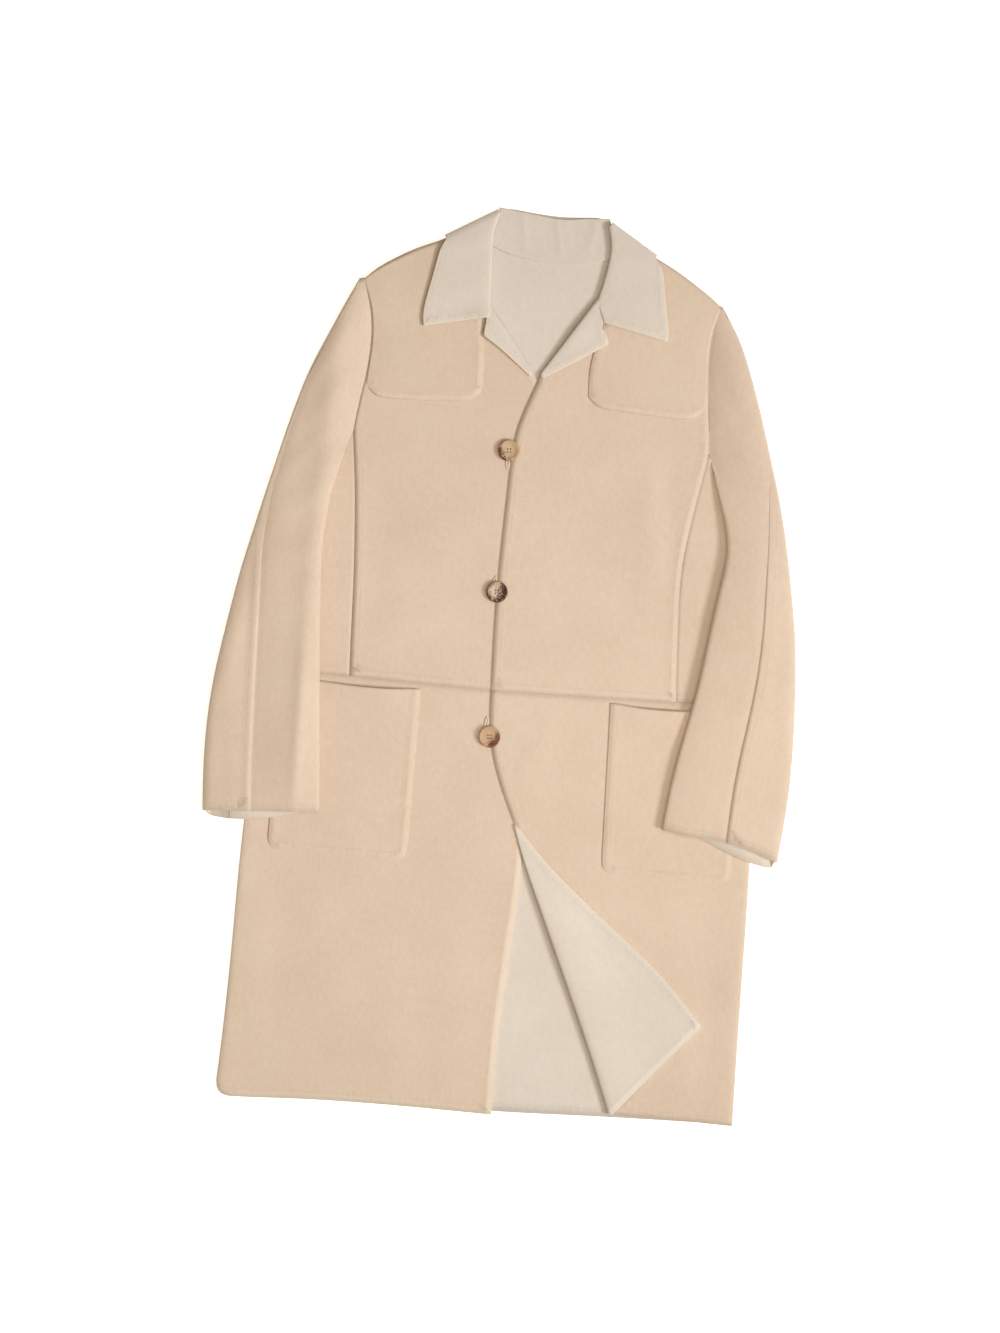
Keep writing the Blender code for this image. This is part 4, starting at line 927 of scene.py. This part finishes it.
def buildCollar():
    radius = turns["collar"]
    shares = np.linspace(0.0, 1.0, 7)[:, None]
    lines, arcs, over = [], [], []
    arcPoints = len(halfTurn)

    def rolled(spots, heights, bend):
        x, y = spots[0]
        arc = []
        for angle in halfTurn[::-1]:
            arc.append((x - side * bend * math.sin(angle), y, heights[0] - bend * (1.0 - math.cos(angle))))
        return arc + [(*spot, z) for spot, z in zip(spots, heights)]

    for number, (rollX, rollY, edgeX, edgeY, layer) in enumerate(collar["stations"]):
        roll = np.array((rollX, rollY), float)
        edge = np.array((edgeX, edgeY), float)
        hand = "left" if rollX < collar["middle"] else "right"
        side = out[hand]
        if layer == "top":
            start = roll + (side * (radius + half), 0.0)
            spots = start + (edge - start) * shares
            last = number == len(collar["stations"]) - 1
            if last:
                spots = np.array(collar["rightEnd"], float)
            high = frontHeight(hand, spots[:, 0], np.minimum(spots[:, 1], collar["topTo"]))
            high = high + 2 * radius + collar["lift"]
            if last or number == 0:
                high[:3] += collar["rightEndUp" if last else "leftEndUp"]
            lines.append(rolled(spots, high, radius))
            arcs.append(True)
            over.append(1.0)
        elif layer == "under":
            spots = roll + (edge - roll) * shares - (0.0, half)
            lines.append([(*spots[0], half)] * arcPoints + [(*spot, half) for spot in spots])
            arcs.append(False)
            over.append(0.0)
        else:
            spots = roll + (edge - roll) * shares
            away = unit(edge - roll)
            up = np.array((-away[1], away[0]))
            up = up if up[1] > 0 else -up
            high = frontHeight(hand, spots[:, 0], np.minimum(spots[:, 1], collar["foldTo"])) + 2 * radius
            turn, weights = [], []
            for angle in np.radians(collar["foldTurn"]):
                bend = (high - half) / 2
                at = spots + up * (bend * math.sin(angle) - bend - half)[:, None]
                turn.append(rolled(at, (high + half) / 2 + bend * math.cos(angle), collar["curl"]))
                weights.append(0.5 + 0.5 * math.cos(angle))
            lines.extend(turn if hand == "left" else turn[::-1])
            over.extend(weights if hand == "left" else weights[::-1])
            arcs.extend([hand == "left", False, False, False, hand == "right"])
    grid = np.array(lines)
    keep = np.ones((len(lines) - 1, grid.shape[1] - 1), bool)
    keep[:, :arcPoints] = (np.array(arcs)[:-1] & np.array(arcs)[1:])[:, None]
    weight = np.repeat(np.array(over)[:, None], grid.shape[1], axis=1)
    edges = [grid[:5, -1], grid[-5:, -1], grid[0, 6:]]
    look = {"node": "collar", "face": "cream", "held": "folded", "ridges": ["body", "collar"], "under": 0.0,
            "on": ["front_left", "front_right"], "fine": 3, "corners": [collar["rightEnd"][2]],
            "stitched": edges + [grid[-1, 6:]], "openOver": edges + [grid[-1, 7:]]}
    makeSheet("collarLeaf", grid, look, keep, weight)
    shares = np.linspace(0.0, 1.0, 6)[:, None, None]
    flat = blend(curve(collar["standTop"], 13)[None], curve(collar["standFoot"], 13)[None], shares)
    high = layers["back"] + layers["step"] + collar["standStep"] * shares[..., 0] * np.ones(flat.shape[:2])
    grid = np.dstack([flat, high])
    look = {"node": "collar_stand", "face": "cream", "ridges": ["stand"], "on": ["collar"], "fine": 3}
    makeSheet("collarStand", grid, look)


buildBack()
for hand in out:
    buildSideFront(hand)
    buildFront(hand)
    buildYoke(hand)
buildSkirts()
for hand in out:
    buildPocket(hand)
    buildSleeve(hand)
buildCollar()
print("cloth made")


# four-hole horn buttons on their shanks, turned from a disc
horn = {
    "radius": 12.8, "thick": 4.0, "shank": 0.5, "segments": 64, "tan": (0.50, 0.318, 0.19),
    # insets of the rim, the slope and the floor as shares of the radius, with how far each goes down
    "turned": ((0.2, 0.0), (0.13, 0.9), (0.2, 0.2)),
    "bevel": 1.1, "bevelSteps": 4, "bevelOver": math.radians(24.0),
    "holes": 4, "holeOut": 2.6, "holeRadius": 1.0, "holeSegments": 20,
    "holeTurn": math.radians(5.0) + math.pi / 4,
    "rough": 0.46, "shine": 0.25, "smoothUnder": math.radians(40.0),
    # dark patches as direction in degrees, and how far out along it they begin and are full: the crescent on
    # each lower-left rim is painted shade on the side away from the light, the other patches the horn's own
    # mottling
    "top": {"at": (-17.9, 253.7), "pale": (0.61, 0.47, 0.29), "brown": (0.10, 0.028, 0.011),
            "dark": [(216.0, 0.48, 0.86), (140.0, 0.75, 1.45), (275.0, 0.75, 1.15)]},
    "middle": {"at": (-17.5, 83.8), "pale": (0.70, 0.54, 0.42), "brown": (0.058, 0.017, 0.007),
               "dark": [(-18.0, -0.2, 0.4), (225.0, 0.30, 0.9), (150.0, 0.25, 1.5)]},
    "bottom": {"at": (-11.2, -89.8), "pale": (0.58, 0.39, 0.235), "brown": (0.16, 0.05, 0.02),
               "dark": [(-30.0, 0.0, 0.85), (-48.0, 0.5, 1.1), (225.0, 0.7, 1.25)]},
}


def hornMaterial(name):
    button = horn[name]
    x, y = (mm * v for v in button["at"])
    material, tree, shader, spot = newMaterial(name + "Horn")
    split = spot.add("ShaderNodeSeparateXYZ", None, Vector=spot)
    across, along = (Value(tree, split.outputs[k]) - v for k, v in ((0, x), (1, y)))
    reach = spot.math("SQRT", across * across + along * along) / (mm * horn["radius"])
    streak = spot.noise(170.0, 3.0, 0.55, (1.0, 0.5, 1.0))
    speck = spot.noise(620.0, 3.0, 0.6)
    warm = (streak * 0.6 + speck * 0.4 + reach * 0.25).within(0.42, 0.85)
    colour = warm.mix((*button["pale"], 1.0), (*horn["tan"], 1.0))
    # dark patches: horn mottling, with painted shade in the crescent on the lower-left rim
    for angle, start, full in button["dark"]:
        turn = math.radians(angle)
        lean = (across * math.cos(turn) + along * math.sin(turn)) / (mm * horn["radius"])
        darkened = (lean + (streak - 0.5) * 1.2 + (speck - 0.5) * 0.9).within(start, full)
        darkened = darkened * (speck.within(0.30, 0.55) * 0.45 + 0.55)
        colour = darkened.mix(colour, (*button["brown"], 1.0))
    tree.links.new(colour.socket, shader.inputs["Base Color"])
    shader.inputs["Roughness"].default_value = horn["rough"]
    shader.inputs["Specular IOR Level"].default_value = horn["shine"]
    bump = spot.add("ShaderNodeBump", None, Strength=0.12, Distance=0.0004, Height=streak + speck * 0.4)
    tree.links.new(bump.outputs[0], shader.inputs["Normal"])
    return material


def plainMaterial(name, dark, light, scale, rough):
    material, tree, shader, spot = newMaterial(name)
    tone = spot.noise(scale, 3.0, 0.6)
    tree.links.new(tone.within(0.3, 0.7).mix((*dark, 1.0), (*light, 1.0)).socket, shader.inputs["Base Color"])
    shader.inputs["Roughness"].default_value = rough
    return material


def buildButton(name):
    x, y = horn[name]["at"]
    r, t = horn["radius"] * mm, horn["thick"] * mm
    under = (frontHeight("right", x, y) + half + horn["shank"]) * mm
    place = (x * mm, y * mm, under + t / 2)
    bpy.ops.object.select_all(action="DESELECT")
    bpy.ops.mesh.primitive_cylinder_add(vertices=horn["segments"], radius=r, depth=t, location=place)
    piece = bpy.context.object
    piece.name = name + "Button"
    # a raised rim round a dished middle, then all its edges rounded
    bpy.ops.object.mode_set(mode="EDIT")
    bpy.ops.mesh.select_all(action="DESELECT")
    bpy.ops.object.mode_set(mode="OBJECT")
    for face in piece.data.polygons:
        face.select = face.normal.z > 0.9
    bpy.ops.object.mode_set(mode="EDIT")
    bpy.ops.mesh.select_mode(type="FACE")
    for share, down in horn["turned"]:
        bpy.ops.mesh.inset(thickness=r * share, depth=-down * mm)
    bpy.ops.object.mode_set(mode="OBJECT")
    rounding = piece.modifiers.new("rounding", "BEVEL")
    rounding.width = horn["bevel"] * mm
    rounding.segments = horn["bevelSteps"]
    rounding.limit_method = "ANGLE"
    rounding.angle_limit = horn["bevelOver"]
    bpy.ops.object.modifier_apply(modifier="rounding")
    for k in range(horn["holes"]):
        angle = horn["holeTurn"] + k * math.pi / 2
        reach = horn["holeOut"] * mm
        spot = (place[0] + reach * math.cos(angle), place[1] + reach * math.sin(angle), place[2])
        bpy.ops.mesh.primitive_cylinder_add(vertices=horn["holeSegments"], radius=horn["holeRadius"] * mm,
                                            depth=t * 2, location=spot)
        drill = bpy.context.object
        onlySelect(piece)
        hole = piece.modifiers.new("hole", "BOOLEAN")
        hole.operation = "DIFFERENCE"
        hole.object = drill
        bpy.ops.object.modifier_apply(modifier="hole")
        bpy.data.objects.remove(drill)
    bpy.ops.object.transform_apply(location=True, rotation=True, scale=True)
    bpy.ops.object.shade_smooth_by_angle(angle=horn["smoothUnder"])
    piece.data.materials.clear()
    piece.data.materials.append(hornMaterial(name))
    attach(piece, "root")
    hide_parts("button_" + name)
    print("button", name, "faces", len(piece.data.polygons))


for name in ("top", "middle", "bottom"):
    buildButton(name)
loop = {"dark": (0.78, 0.66, 0.52), "light": (0.90, 0.80, 0.68), "scale": 900.0, "rough": 0.85}
cord = plainMaterial("cord", **loop)
for name in ("loop_top", "loop_middle", "loop_bottom"):
    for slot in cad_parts[name].material_slots:
        slot.material = cord
print("buttons and loops made")

# pale floor, soft light from the right and camera straight above
stage = {
    "floor": (0.93, 0.93, 0.925), "paler": 1.01, "grain": 40.0, "rough": 0.95, "glow": 0.6,
    "wide": 8.0, "below": 0.0003, "height": 4.0, "lens": 90.0, "turn": math.radians(5.0),
    "over": (-0.0061, -0.0049),
    "sky": (1.0, 0.86, 0.68, 1.0), "skyPower": 0.318,
}
bpy.ops.mesh.primitive_plane_add(size=stage["wide"], location=(0.0, 0.0, cadBox[0][2] - stage["below"]))
floor = bpy.context.object
floor.name = "floor"
paler = tuple(v * stage["paler"] for v in stage["floor"])
paper = plainMaterial("floorPaper", stage["floor"], paler, stage["grain"], stage["rough"])
floor.data.materials.append(paper)
glow = paper.node_tree.nodes["Principled BSDF"]
glow.inputs["Emission Color"].default_value = (1.0, 1.0, 1.0, 1.0)
glow.inputs["Emission Strength"].default_value = stage["glow"]
lights = {
    "key": {"kind": "SUN", "at": (2.6, -0.7, 2.3), "soft": math.radians(17.0), "power": 1.98,
            "colour": (0.90, 0.95, 1.0)},
    "fill": {"kind": "AREA", "at": (0.25, -0.15, 1.15), "soft": 0.9, "power": 6.6,
             "colour": (1.0, 0.95, 0.88)},
}
for name, light in lights.items():
    bpy.ops.object.light_add(type=light["kind"], location=light["at"])
    lamp = bpy.context.object
    lamp.name = name
    setattr(lamp.data, "angle" if light["kind"] == "SUN" else "size", light["soft"])
    lamp.data.energy = light["power"]
    lamp.data.color = light["colour"]
    x, y, z = light["at"]
    lamp.rotation_euler = (math.atan2(math.hypot(x, y), z), 0.0, math.atan2(y, x) + math.pi / 2)
world = bpy.context.scene.world or bpy.data.worlds.new("room")
bpy.context.scene.world = world
world.use_nodes = True
sky = world.node_tree.nodes["Background"]
sky.inputs[0].default_value = stage["sky"]
sky.inputs[1].default_value = stage["skyPower"]
bpy.ops.object.camera_add(location=(*stage["over"], stage["height"]), rotation=(0.0, 0.0, stage["turn"]))
camera = bpy.context.object
camera.data.lens = stage["lens"]
camera.data.dof.use_dof = False
bpy.context.scene.camera = camera
bpy.context.scene.view_settings.view_transform = "Standard"
print("stage made")
